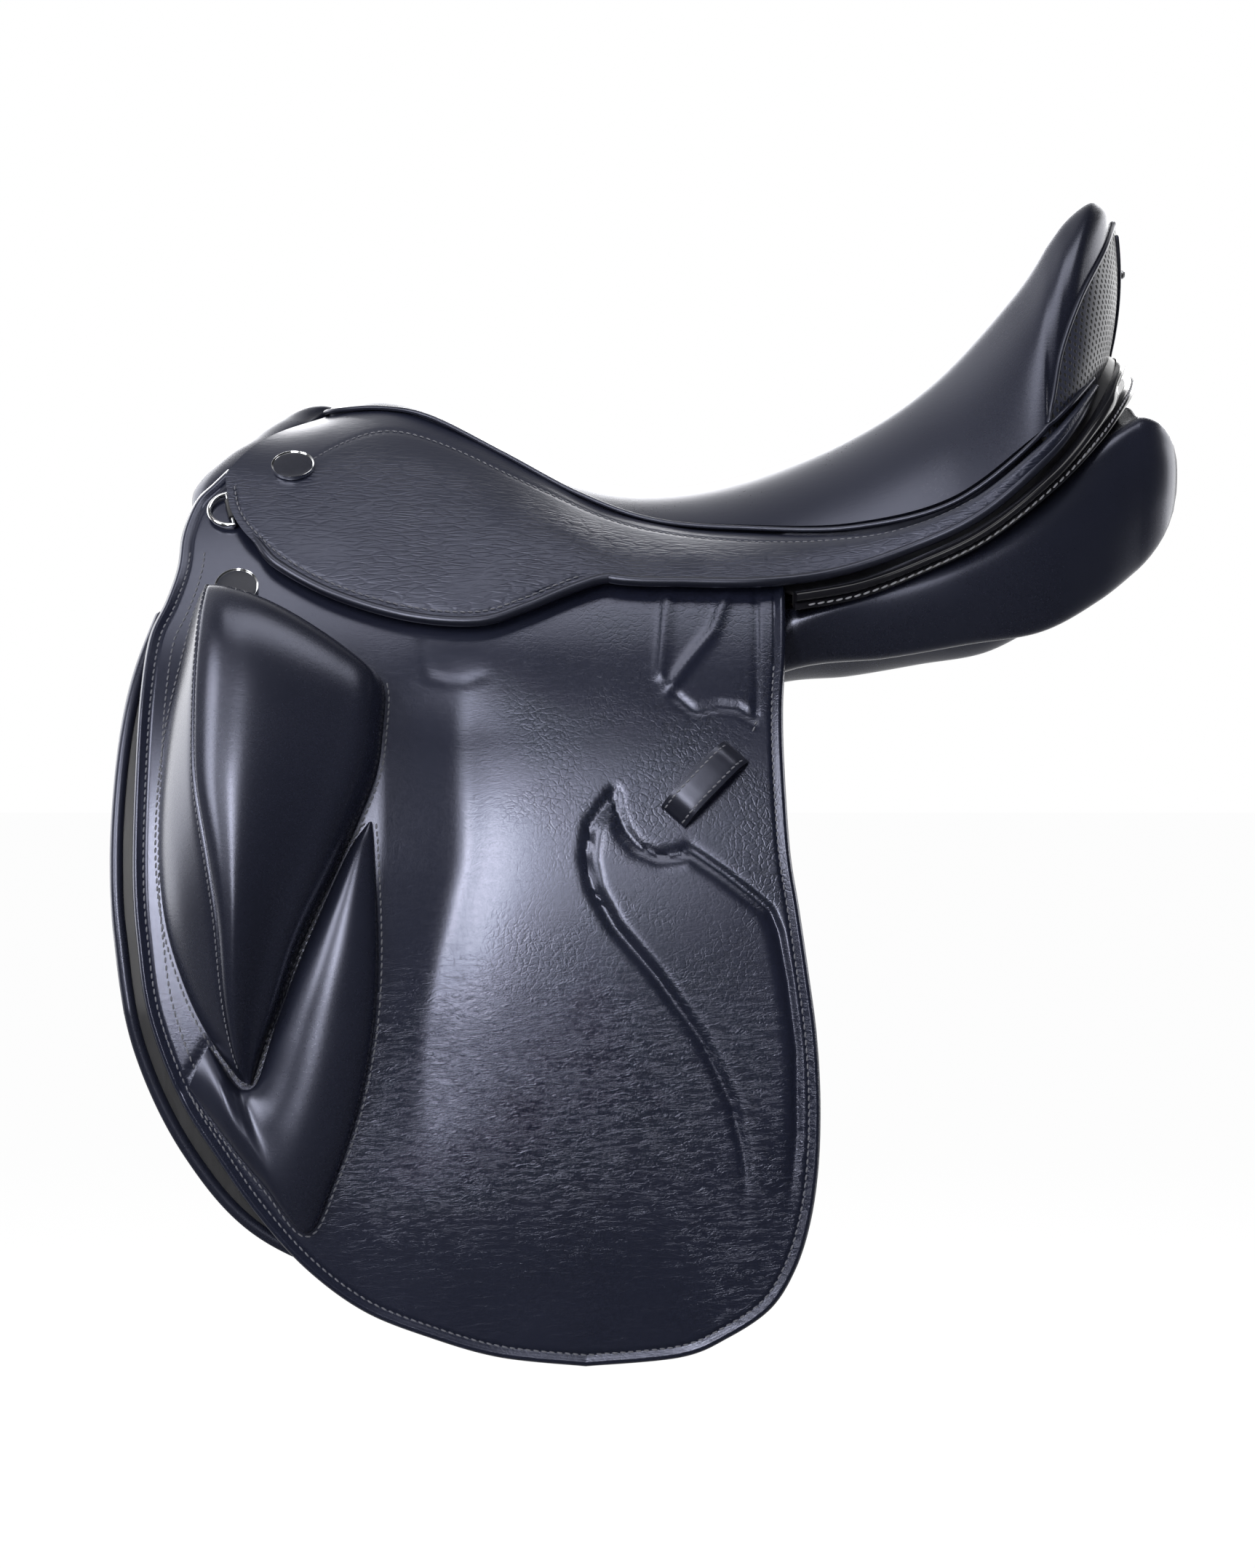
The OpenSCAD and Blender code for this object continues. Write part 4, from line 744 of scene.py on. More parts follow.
def hide_finish(name, colour):
    """Grained hide: crinkled pebbles under the crease mark, level wrinkles under the fold mark, and painted
    shade in the grooves between the pebbles.
    """
    f = Finish(name, **SHEEN)
    swirl = f.node("TexNoise", None, {"Vector": f.place, "Scale": 190, "Detail": 3}, out="Color")
    swirl = f.node("VectorMath", {"operation": "SCALE"}, {0: swirl, "Scale": 0.006})
    warped = f.node("VectorMath", {"operation": "ADD"}, {0: f.place, 1: swirl})
    pebbles = f.span(f.cells(300, "DISTANCE_TO_EDGE", warped), 0, 0.16)
    patch = f.span(f.noise(30, 3), 0.36, 0.64)
    # Grooves between the pebbles: sunk in the bump, and also used below as painted shade in the colour
    crinkle_and_shade = (1 - pebbles) * f.mark("crease") * (patch * 0.8 + 0.2)
    level = f.stretched(0.3, 0.7, 1.0, (0, 0.12, 0))
    waves = f.noise(360, 4, 0.55, 2.0, level)
    ridge = f.node("Math", {"operation": "ABSOLUTE"}, {0: waves * 2 - 1})
    cloud = f.noise(9, 4)
    # Colour: random cloud, darkened along the grooves between the pebbles as painted shade
    tone = cloud * 0.7 + crinkle_and_shade * -0.5 + 0.15
    f.wire("Base Color", f.shade(tone, tinted(colour, 0.6), tinted(colour, 1.5)))
    f.wire("Roughness", 0.16 + cloud * 0.12 + f.noise(500, 2) * 0.06)
    grain = f.span(f.cells(1100), 0, 0.6) * 0.006 + f.noise(2400, 2) * 0.002
    wrinkles = (f.span(ridge, 0, 0.4) * 0.09 + waves * 0.08) * f.mark("fold")
    return f.bump(grain + wrinkles - crinkle_and_shade * 0.04)


def skirt_finish(name, colour):
    """Hide with fine wrinkles that run level along the skirt."""
    f = Finish(name, **SHEEN)
    level = f.stretched(0.2, 0.8, 1.0, (0, 0.1, 0))
    lines = f.noise(620, 5, 0.62, 0.9, level)
    ridges = f.cells(420, "DISTANCE_TO_EDGE", f.stretched(0.24, 0.8, 1.0, (0, 0.1, 0)))
    patch = f.span(f.noise(24, 3), 0.3, 0.6)
    cloud = f.noise(10, 4)
    f.wire("Base Color", f.shade(cloud, tinted(colour, 0.7), tinted(colour, 1.4)))
    f.wire("Roughness", 0.27 + cloud * 0.1 + lines * 0.08)
    folds = (lines * 1.1 + f.span(ridges, 0, 0.2) * 0.55) * (patch * 0.7 + 0.3) * f.mark("crease")
    return f.bump(folds * 0.38 + f.noise(2600, 2) * 0.004)


def patent_finish(name, colour):
    """Patent leather: a clear gloss over slightly uneven black."""
    f = Finish(name, Coat_Weight=0.2, Coat_Roughness=0.1, Specular_IOR_Level=0.3)
    wave = f.noise(120, 2)
    f.wire("Base Color", f.shade(wave, tinted(colour, 0.7), tinted(colour, 1.3)))
    f.wire("Roughness", 0.16 + f.noise(60, 3) * 0.08)
    return f.bump(wave * 0.015 + f.noise(900, 2) * 0.001)


def perforated_finish(name, colour, pitch):
    """Satin leather with small round holes in slanting rows, laid out on the piece's own marks; the holes are
    painted near black as the shade inside them.
    """
    f = Finish(name, Specular_IOR_Level=0.7)
    u, v = (f.node("SeparateXYZ", None, {0: f.mark("lay", "Vector")}, axis) for axis in "XY")
    rows = []
    for shift in (0, 0.5):
        cu = f.node("Math", {"operation": "FRACT"}, {0: u * (1 / pitch) + shift}) - 0.5
        cv = f.node("Math", {"operation": "FRACT"}, {0: v * (1 / pitch) + shift}) - 0.5
        rows.append(cu * cu + cv * cv)
    spot = f.node("Math", {"operation": "MINIMUM"}, {0: rows[0], 1: rows[1]})
    hole_and_shade = 1 - f.span(spot, 0.022, 0.05)
    cloud = f.noise(14, 3)
    # The holes are painted near black: painted shade for the dark inside of each of them
    f.wire("Base Color", f.shade(hole_and_shade, tinted(colour, 2.2), tinted(colour, 0.08)))
    f.wire("Roughness", 0.36 + cloud * 0.1 + hole_and_shade * 0.4)
    return f.bump(f.noise(1800, 2) * 0.01 - hole_and_shade * 0.4)


def lining_finish(name, colour):
    """Strap leather: matt, with long fibres."""
    f = Finish(name, IOR=1.45)
    fibre = f.noise(260, 4, 0.6, 0.3, f.stretched(1, 1, 0.2))
    pores = f.cells(1300)
    f.wire("Base Color", f.shade(fibre, tinted(colour, 0.5), tinted(colour, 1.9)))
    f.wire("Roughness", 0.38 + fibre * 0.2)
    return f.bump(fibre * 0.05 + f.span(pores, 0, 0.5) * 0.012)


def thread_finish(name, colour):
    """Twisted waxed thread."""
    f = Finish(name, IOR=1.5)
    twist = f.noise(2600, 2, at=f.stretched(1, 1, 1.8, (0.4, 0.6, 0)))
    f.wire("Base Color", f.shade(twist, tinted(colour, 0.7), tinted(colour, 1.25)))
    f.wire("Roughness", 0.42 + twist * 0.2)
    return f.bump(twist, 0.4, 0.0002)


def metal_finish(name, colour, rough, brush):
    """Steel: brushed along its length, or polished with faint wear."""
    f = Finish(name, Metallic=1.0)
    lines = f.noise(900, 3, at=f.stretched(0.06, 1, 1))
    smear = f.noise(60, 3)
    f.wire("Base Color", f.shade(smear, tinted(colour, 0.88), colour))
    f.wire("Roughness", rough + lines * brush + smear * 0.05)
    return f.bump(lines, 0.05 + brush, 0.0001)


def enamel_finish(name, colour):
    """Dark enamel in a shallow dome."""
    f = Finish(name, Specular_IOR_Level=0.3)
    fleck = f.noise(700, 3)
    f.wire("Base Color", f.shade(fleck, tinted(colour, 0.6), tinted(colour, 1.5)))
    f.wire("Roughness", 0.3 + fleck * 0.12)
    return f.bump(f.noise(240, 2), 0.06, 0.0003)


def wood_finish(name, colour):
    """Laminated tree: thin layers with a stained grain."""
    f = Finish(name)
    layers = f.node("TexWave", {"bands_direction": "Z"},
                    {"Vector": f.place, "Scale": 190, "Distortion": 1.2, "Detail": 2})
    grain = f.noise(60, 5, 0.6, 0.6, f.stretched(0.15, 1, 1))
    f.wire("Base Color", f.shade(layers * 0.4 + grain * 0.6, tinted(colour, 0.55), tinted(colour, 1.15)))
    f.wire("Roughness", 0.45 + grain * 0.2)
    return f.bump(layers * 0.4 + grain, 0.2, 0.0005)


def woven_finish(name, colour):
    """Linen webbing: a plain weave."""
    f = Finish(name)
    warp = f.node("TexWave", {"bands_direction": "X"}, {"Vector": f.place, "Scale": 210})
    weft = f.node("TexWave", {"bands_direction": "DIAGONAL"}, {"Vector": f.stretched(0, 1, 1), "Scale": 170})
    dust = f.noise(50, 4)
    weave = warp * 0.35 + weft * 0.35 + dust * 0.3
    f.wire("Base Color", f.shade(weave, tinted(colour, 0.6), tinted(colour, 1.15)))
    f.wire("Roughness", 0.75 + dust * 0.15)
    return f.bump(warp + weft, 0.5, 0.0005)


def finish(key):
    """The finish of that name, made once from the colours that a user can change."""
    name, scene = "saddle_" + key, bpy.context.scene
    if name in bpy.data.materials:
        return bpy.data.materials[name]
    colours = scene.saddle_colours
    maker, *values = {
        "calf": (calf_finish, colours.calf),
        "block": (calf_finish, tinted(colours.calf, 0.9), 0.24),
        "hide": (hide_finish, colours.hide),
        "skirt": (skirt_finish, colours.hide),
        "patent": (patent_finish, colours.patent),
        "perforated": (perforated_finish, colours.calf, scene.saddle_sizes.hole_pitch),
        "piping": (calf_finish, tinted(colours.calf, 0.7), 0.3),
        "lining": (lining_finish, colours.lining),
        # The thread's colour is partly painted highlight, lifted above its own dark navy
        "thread": (thread_finish, colours.thread),
        "pale_thread": (thread_finish, colours.pale_thread),
        "steel": (metal_finish, (0.6, 0.61, 0.63), 0.3, 0.18),
        "chrome": (metal_finish, (0.82, 0.83, 0.85), 0.08, 0.03),
        "enamel": (enamel_finish, (0.012, 0.013, 0.02)),
        "wood": (wood_finish, (0.5, 0.36, 0.22)),
        "linen": (woven_finish, (0.62, 0.58, 0.48)),
    }[key]
    return maker(name, *values)


# Sizes and colours

class SaddleSizes(bpy.types.PropertyGroup):
    """Sizes of the sewn details"""
    stitch_pitch: FloatProperty(name="Stitch pitch", description="Distance from one stitch to the next",
                                default=0.0036, min=0.002, max=0.006, subtype="DISTANCE", unit="LENGTH")
    stitch_length: FloatProperty(name="Stitch length", description="Length of the thread that shows",
                                 default=0.0027, min=0.0015, max=0.005, subtype="DISTANCE", unit="LENGTH")
    stitch_radius: FloatProperty(name="Stitch radius", description="Half the thickness of the thread",
                                 default=0.00042, min=0.0002, max=0.0006, subtype="DISTANCE", unit="LENGTH")
    piping_radius: FloatProperty(name="Piping radius", description="Half the thickness of the seams' piping",
                                 default=0.0013, min=0.0008, max=0.003, subtype="DISTANCE", unit="LENGTH")
    welt_radius: FloatProperty(name="Welt radius", description="Half the thickness of the skirt's rolled rim",
                               default=0.0025, min=0.0015, max=0.0035, subtype="DISTANCE", unit="LENGTH")
    hole_pitch: FloatProperty(name="Perforation pitch", description="Distance between the cantle's holes",
                              default=0.0052, min=0.003, max=0.008, subtype="DISTANCE", unit="LENGTH")


class SaddleColours(bpy.types.PropertyGroup):
    """Colours of the leathers and threads"""
    calf: FloatVectorProperty(name="Calf", description="Seat, panels and blocks",
                              subtype="COLOR", size=3, min=0, max=1, default=(0.0075, 0.0085, 0.0155))
    hide: FloatVectorProperty(name="Hide", description="Flaps and skirts",
                              subtype="COLOR", size=3, min=0, max=1, default=(0.0065, 0.0078, 0.016))
    patent: FloatVectorProperty(name="Patent", description="Trim of the cantle",
                                subtype="COLOR", size=3, min=0, max=1, default=(0.006, 0.006, 0.008))
    lining: FloatVectorProperty(name="Lining", description="Sweat flaps, straps and linings",
                                subtype="COLOR", size=3, min=0, max=1, default=(0.011, 0.011, 0.013))
    # Thread: a dark navy lifted lighter, partly painted highlight for the light that the stitches catch
    thread: FloatVectorProperty(name="Thread", description="Stitches in the leather",
                                subtype="COLOR", size=3, min=0, max=1, default=(0.09, 0.092, 0.11))
    pale_thread: FloatVectorProperty(name="Pale thread", description="Stitches in the trim",
                                     subtype="COLOR", size=3, min=0, max=1, default=(0.2, 0.2, 0.22))


class SaddleOperator:
    """What every operator of the saddle shares"""
    bl_options = {"REGISTER", "UNDO"}


# Seat and cantle

class SADDLE_OT_seat(SaddleOperator, bpy.types.Operator):
    """Make the seat with its foam, its piping and the webbing under it"""
    bl_idname = "saddle.seat"
    bl_label = "Seat"

    def execute(self, context):
        sizes = context.scene.saddle_sizes
        shares = np.linspace(-1, 1, SEAT_COLS)
        wide = np.sin(shares * math.pi / 2)[None, :]
        s = np.linspace(0, SEAT_END - 0.02, SEAT_ROWS)[:, None]
        v = wide * mix(0.99, 1, smooth(s - 9.5))
        grid = seat(s, v)
        crease = bell(np.abs(v), 0.66, 0.1) * smooth((s - 8.3) / 2) * smooth((13.6 - s) / 2)
        outer = grid - normals(grid, (0, 0, 1)) * (0.8 * crease)[..., None]
        inner = seat(np.linspace(0.5, SEAT_END - 1.6, SEAT_ROWS)[:, None], wide * 0.95) - (0, 0, FOAM_DEPTH)
        edge = np.abs(shares) > 0.985
        inner[:, edge] = (outer - normals(outer, (0, 0, 1)) * 3)[:, edge]
        settle(slab("seat_cushion", outer, inner), "saddle", "calf", ("seat_cover", "seat_foam"))
        strap = seat(np.linspace(1.7, 11, 90)[:, None], np.linspace(-0.34, 0.34, 16)[None, :])
        piece = slab("seat_webs", strap - (0, 0, WEB_TOP), strap - (0, 0, WEB_UNDER))
        settle(piece, "saddle", "linen", ("seat_webbing",))
        seam = np.concatenate([spline(RIM, np.linspace(0.1, 10.35, 220)) - (0, 0, 0.8), curve(SEAM_TAIL, 24)])
        grid = skirt_grid(240, 40)
        hem = grid[:, -1] + unit(grid[:, -1] - grid[:, -2]) - normals(grid, (0, 1, 0.4))[:, -1] * 1.4
        for side, sign in SIDES:
            piece = tube(f"{side}_seat_seam", even(seam, 240), sizes.piping_radius / MM, sign)
            settle(piece, "saddle", "piping")
            piece = tube(f"{side}_skirt_hem", even(hem[HEM_RUN], 170), sizes.welt_radius / MM, sign)
            settle(piece, "saddle", "piping", (f"{side}_seat_piping",))
        return {"FINISHED"}


class SADDLE_OT_cantle(SaddleOperator, bpy.types.Operator):
    """Make the cantle: its perforated back, piping and stitched patent trim"""
    bl_idname = "saddle.cantle"
    bl_label = "Cantle"

    def execute(self, context):
        self.back(context.scene.saddle_sizes.piping_radius / MM)
        self.trim()
        return {"FINISHED"}

    def back(self, r):
        """The perforated cover, its two ridges and the piping round it."""
        rim = spline(RIM, np.linspace(10.1, SEAT_END, 8)) + (1.2, 0, -0.6)
        seam = even(curve(both_sides([*rim, (255, 0, 193.5)]), BACK_ROWS), BACK_ROWS)
        base = even(both_sides(np.array(BACK_BASE) * (1, 0.97, 1) - (3, 0, 14)), BACK_ROWS)
        t = np.linspace(0, 1, 50)
        middle = (1 - np.linspace(-1, 1, BACK_ROWS)[:, None] ** 2) ** 2
        skin = across(base, seam, t, (2.5 + 2.6 * middle) * 4 * t * (1 - t))
        face = normals(skin, (1, 0, 0))
        high = np.linalg.norm(seam - base, axis=1)[:, None] * t[None, :] * MM
        along = np.broadcast_to(lengths(skin[:, 25])[:, None] * MM, high.shape)
        lay = np.stack([along, high, 0 * high], -1)
        piece = slab("cantle_cover", skin, skin - face * 2.4, marks={"lay": lay})
        settle(piece, "saddle", "perforated", ("cantle_back",))
        for side, sign in SIDES:
            k = BACK_ROWS // 2 + sign * 15
            ridge = skin[k, 3:47] + face[k, 3:47] * 0.6
            settle(tube(f"{side}_cantle_ridge", ridge, 1.1, 1, 8, (0, 1, 0)), "saddle", "piping")
        half = spline(RIM, np.linspace(10.5, SEAT_END, 70)) + (0.6, 0, 0)
        path = even(both_sides([*half, (253.6, 12, 193.6), (254.2, 0, 194.6)]), 200)
        piece = tube("cantle_seam", path, r, 1, 12, (1, 0, 0))
        settle(piece, "saddle", "piping", ("cantle_piping",))

    def trim(self):
        """The patent band, rolled along both sides, the leather behind it and its stitch row."""
        upper, lower = (curve(both_sides(p), TRIM_ROWS) for p in (TRIM_UPPER, TRIM_LOWER))
        run = np.abs(np.linspace(-1, 1, TRIM_ROWS)) * (len(TRIM_UPPER) - 1)
        roll = smooth((run - 2.9) / 0.7)[:, None]
        t = np.linspace(0, 1, TRIM_COLS)
        flange = 0.9 * bell(t, 0.1, 0.12) + 0.5 - 0.9 * bell(t, 0.42, 0.05)
        dome = 3.6 * np.clip(1 - ((t - 0.74) / 0.3) ** 2, 0, 1) ** 0.6
        lip = 1.1 * bell(t, 0.9, 0.1)
        height = (flange + mix(lip, dome, roll)) * smooth(t / 0.04) * smooth((1 - t) / 0.04)
        inner = across(lower, upper, t, np.full(height.shape, -2.6))
        piece = slab("cantle_band", across(lower, upper, t, height), inner)
        settle(piece, "saddle", "patent", ("cantle_trim",))
        tucked = curve(both_sides(np.array(TRIM_UPPER) * (1, 0.88, 1) + (-9, 0, 4)), TRIM_ROWS)
        foot = curve(both_sides(CANTLE_FOOT), TRIM_ROWS)
        low, high = across(lower, upper, [0.1, 0.9], [-2.8, -2.8]).transpose(1, 0, 2)
        steps = np.linspace(0, 1, 7)[None, :, None]
        runs = [mix(a[:, None], b[:, None], steps) for a, b in ((foot, low), (low, high), (high, tucked))]
        cover = np.concatenate([runs[0], runs[1][:, 1:], runs[2][:, 1:]], 1)
        piece = slab("cantle_lining", cover, cover - normals(cover, (0.3, 0, -1)) * 1.5)
        settle(piece, "saddle", "lining")
        row = across(lower, upper, [0.22], height[:, 7:8] + 0.25)[4:-4, 0]
        face = unit(np.cross(np.gradient(lower, axis=0), upper - lower))[4:-4]
        piece = thread("cantle_band_stitches", [(row, face)], 1, 4.6, 1.15)
        settle(piece, "saddle", "pale_thread")


# Skirts and flaps

class SADDLE_OT_skirts(SaddleOperator, bpy.types.Operator):
    """Make both skirts: the fixed part above the fold, the lobe that lifts, its welt and stitching"""
    bl_idname = "saddle.skirts"
    bl_label = "Skirts"

    def execute(self, context):
        welt = context.scene.saddle_sizes.welt_radius / MM
        grid = skirt_grid(SKIRT_ROWS, SKIRT_COLS)
        face = normals(grid, (0, 1, 0.6))
        station = np.linspace(0, SKIRT_SPANS, SKIRT_ROWS)[:, None]
        sewn = even(SKIRT_STITCH, 240)
        below = np.linspace(-SKIRT_TUCK, 1, SKIRT_COLS)[None, :] - np.interp(station, sewn[:, 0], sewn[:, 1])
        along = smooth((station - 1.1) / 0.2) * smooth((10.2 - station) / 0.4)
        upper = grid - face * (0.5 * bell(below, 0, 0.025) * along)[..., None]
        upper_marks = {"crease": 0.15 + 0.85 * smooth((below - 0.1) / 0.45)}
        on_face, on_upper = (on_grid(q, *skirt_place(sewn[:, 0], sewn[:, 1])) for q in (face, grid))
        upper_row = (on_upper - on_face * 0.2, on_face)
        edge = even(SKIRT_EDGE, 200)
        x = np.linspace(SKIRT_EDGE[0][0], SKIRT_EDGE[-1][0], 200)
        u = np.linspace(0, 1, 40)[None, :]
        flat = mix(np.stack([x, fold_z(x)], 1)[:, None], edge[:, None], u[..., None])
        margin = near(flat.reshape(-1, 2), edge).reshape(flat.shape[:2])
        puff = (0.9 * smooth(margin / 14) - 0.5 * bell(margin, SKIRT_SEAM_IN, 0.8)) * smooth(u / 0.6)
        outer, inner = hung(flat, SKIRT_OUT + puff), hung(flat, SKIRT_IN)
        full = smooth((np.linspace(0, 1, 200) - 0.17) / 0.08)
        rim = even(hung(inset(edge, mix(-1.4, 0.5, full)[:, None]), (SKIRT_IN + SKIRT_OUT) / 2), 200)
        row = inset(edge, -SKIRT_SEAM_IN)[6:-10]
        for side, sign in SIDES:
            piece = slab(f"{side}_skirt_upper", upper, grid - face * 3, sign, upper_marks)
            settle(piece, "saddle", "skirt", (f"{side}_skirt_top",))
            piece = thread(f"{side}_skirt_upper_stitches", [upper_row], sign)
            settle(piece, "saddle", "thread")
            piece = slab(f"{side}_skirt_lobe", outer, inner, sign, {"crease": np.ones(flat.shape[:2])})
            settle(piece, f"{side}_skirt", "skirt", (f"{side}_skirt",))
            piece = tube(f"{side}_skirt_roll", rim, mix(1.5, welt, full), sign)
            settle(piece, f"{side}_skirt", "piping", (f"{side}_skirt_welt",))
            piece = thread(f"{side}_skirt_stitches", [(hung(row, SKIRT_OUT + 0.25), facing(row))], sign)
            settle(piece, f"{side}_skirt", "thread")
        return {"FINISHED"}


class SADDLE_OT_flaps(SaddleOperator, bpy.types.Operator):
    """Make both flaps, with their bead, pressed lines and stitching"""
    bl_idname = "saddle.flaps"
    bl_label = "Flaps"

    def execute(self, context):
        front, rear = even(FLAP_FRONT, FLAP_ROWS), even(FLAP_REAR, FLAP_ROWS)
        u = np.linspace(0, 1, FLAP_COLS)
        t = mix((1 - np.cos(u * math.pi)) / 2, u, 0.15)
        flat = mix(front[:, None], rear[:, None], t[None, :, None])
        top = np.maximum(fold_z(flat[0, :, 0]) + 4, 2.5) - flat[0, :, 1]
        flat[..., 1] += np.minimum(top, 0)[None, :] * (1 - smooth(np.arange(FLAP_ROWS) / 24))[:, None]
        relief, edge, valley = (q.reshape(FLAP_ROWS, FLAP_COLS) for q in flap_relief(flat.reshape(-1, 2)))
        under = -FLAP_T - 1.6 * valley + 1.2 * np.clip(1 - edge / FLAP_ROUND, 0, 1) ** 2
        marks, sewn = self.wear(flat[..., 0], flat[..., 1]), self.stitch_rows()
        start, end = self.bend()
        for side, sign in SIDES:
            piece = slab(f"{side}_flap_leather", hung(flat, relief), hung(flat, under), sign, marks)
            coat(piece, "hide")
            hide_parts(f"{side}_flap", f"{side}_flap_top")
            place = (MM, sign * MM, MM)
            tuple(start * place)
            tuple(end * place)
            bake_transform(piece)
            settle(thread(f"{side}_flap_stitches", sewn, sign), f"{side}_flap", "thread")
        return {"FINISHED"}

    def wear(self, x, z):
        """Where the leather is creased, and where it folds in level wrinkles; the crease mark also sets where
        the hide's grooves are painted darker as shade.
        """
        round_keeper = np.exp(-((x - 36) ** 2 + (z + 110) ** 2) / 45 ** 2)
        crease = 0.15 + smooth((x + 80) / 40) * (0.25 + 0.4 * smooth((z + 230) / 90)) + 0.35 * round_keeper
        low = 0.15 + 0.85 * smooth((z + 330) / 70 + smooth((x - 10) / 50))
        fold = (0.12 + 0.88 * smooth((-165 - z) / 70) * low) * (0.25 + 0.75 * smooth((x + 150) / 40))
        return {"crease": crease, "fold": fold}

    def bend(self):
        """Points above and below the fold."""
        ends = np.array([FOLD_FRONT, FOLD_REAR], float)
        front, rear = hung(ends, 0)
        middle = np.array([-60.0, float(fold_z(-60))])
        down = -unit(np.cross(unit(rear - front), facing(middle)))
        at = hung(middle, 0)
        return at - down * 4.5, at + down * 10

    def stitch_rows(self):
        """Rows along the edge, below the dart and round the block and the pad."""
        outline = np.concatenate([even(FLAP_FRONT, 400)[36:], even(FLAP_REAR, 400)[::-1][1:-40]])
        lines = [(inset(outline, -FLAP_SEAM), 0.15), (inset(outline[:210], -SECOND_SEAM), 0.15),
                 (np.linspace((60.5, -70), (57.5, -78), 12), 0.2)]
        for rows in (BLOCK_ROWS, PAD_ROWS):
            q = curve(rows, 120)
            lines += [(inset(q[:, 0:2], 1.7), 0.2), (inset(q[:, 2:4], -1.7), 0.2)]
        return [(hung(line, flap_relief(line)[0] + lift), facing(line)) for line, lift in lines]


class SADDLE_OT_knee_blocks(SaddleOperator, bpy.types.Operator):
    """Make the stuffed knee blocks and the pads behind them"""
    bl_idname = "saddle.knee_blocks"
    bl_label = "Knee blocks"

    def execute(self, context):
        rows, parts = 150, (56, 30)
        sewn = parts[0] + 2
        block = cushion(BLOCK_ROWS, block_profile, 40, 1.3, rows, parts)
        face = normals(block, (0, 1, 0))
        seam = bell(np.arange(block.shape[1]), parts[0] - 1, 1.1) * 0.7
        block = block - face * (seam[None, :] * smooth(np.linspace(0, 12, rows))[:, None])[..., None]
        block_foot = cushion(BLOCK_ROWS, block_profile, 0, -2.5, rows, parts)
        along = face[8:-6, sewn]
        row = block[8:-6, sewn] + along * 0.2
        pad = cushion(PAD_ROWS, pad_profile, 13, 1.3, rows, (70,))
        pad_foot = cushion(PAD_ROWS, pad_profile, 0, -2.5, rows, (70,))
        for side, sign in SIDES:
            piece = slab(f"{side}_block", block, block_foot, sign)
            settle(piece, f"{side}_flap", "block", (f"{side}_knee_block",))
            piece = thread(f"{side}_block_stitches", [(row, along)], sign, 3.0, 0.8)
            settle(piece, f"{side}_flap", "thread")
            piece = slab(f"{side}_pad", pad, pad_foot, sign)
            settle(piece, f"{side}_flap", "calf", (f"{side}_knee_pad",))
        return {"FINISHED"}


class SADDLE_OT_sweat_flaps(SaddleOperator, bpy.types.Operator):
    """Make the sweat flaps under the flaps, with their rolled front edge"""
    bl_idname = "saddle.sweat_flaps"
    bl_label = "Sweat flaps"

    def execute(self, context):
        front, rear = even(SWEAT_FRONT, 150), even(SWEAT_REAR, 150)
        flat = mix(front[:, None], rear[:, None], np.linspace(0, 1, 70)[None, :, None])
        edge = near(flat.reshape(-1, 2), np.concatenate([front, rear[::-1]])).reshape(flat.shape[:2])
        round_off = 1.2 * np.clip(1 - edge / 2, 0, 1) ** 2
        outer, inner = self.upright(flat, SWEAT_OUT - round_off), self.upright(flat, SWEAT_IN + round_off)
        path = even(SWEAT_FRONT, 260)[:235] + (1.5, 0)
        path = self.upright(path, (SWEAT_OUT + SWEAT_IN) / 2 + 0.8)
        for side, sign in SIDES:
            piece = slab(f"{side}_sweat_leather", outer, inner, sign)
            settle(piece, "saddle", "lining", (f"{side}_sweat_flap",))
            settle(tube(f"{side}_sweat_roll", path, 3.3, sign), "saddle", "calf")
        return {"FINISHED"}

    def upright(self, p, h):
        """Points (x, z) at the height h over the flap's face, hanging straight down at the bottom."""
        return np.stack([p[..., 0], out(np.maximum(p[..., 1], -205), h), p[..., 1]], -1)


# Padding under the seat

class SADDLE_OT_panels(SaddleOperator, bpy.types.Operator):
    """Make the stuffed panels, the lining of the gullet and the facing of the pommel"""
    bl_idname = "saddle.panels"
    bl_label = "Panels"

    def execute(self, context):
        rings = panel_rings(PANEL_ROWS, PANEL_COLS)
        for side, sign in SIDES:
            piece = loft(f"{side}_panel_cushion", rings, sign)
            settle(piece, "saddle", "calf", (f"{side}_panel",))
        self.gullet(rings[len(PANEL_NOSE):1 - len(PANEL_TAIL), PANEL_COLS // 3])
        self.pommel()
        return {"FINISHED"}

    def gullet(self, roof):
        """The lining between the panels, arched under the tree."""
        x, y = np.linspace(-198, 250, 120)[:, None], np.linspace(-1, 1, 25)[None, :]
        z = np.interp(x, roof[:, 0], roof[:, 2]) - 3
        arch = z + (np.maximum(z + 5, 22) - z) * (1 - y ** 2)
        lining = np.stack([*np.broadcast_arrays(x, y * 44, arch)], -1)
        settle(slab("gullet_lining", lining, lining + (0, 0, 1.6)), "saddle", "lining")

    def pommel(self):
        """The padded facing and the leather that closes the head behind it."""
        lines = (ARCH_FRONT, ARCH_REAR, POMMEL_FOOT)
        front, rear, foot = (curve(both_sides(p[::-1])[::-1], 150) for p in lines)
        t = np.linspace(0, 1, 26)
        swell = np.clip(4 * t * (1 - t), 0, 1)
        inner = across(front, rear, t, -6 * swell ** 0.5)
        piece = slab("pommel_facing", across(front, rear, t, 5 * swell ** 0.6), inner)
        settle(piece, "saddle", "calf", ("front_arch",))
        drop = -8 * t * (1 - t)
        piece = slab("pommel_lining", across(rear, foot, t, drop), across(rear, foot, t, drop + 1.8))
        settle(piece, "saddle", "calf")


# Fittings

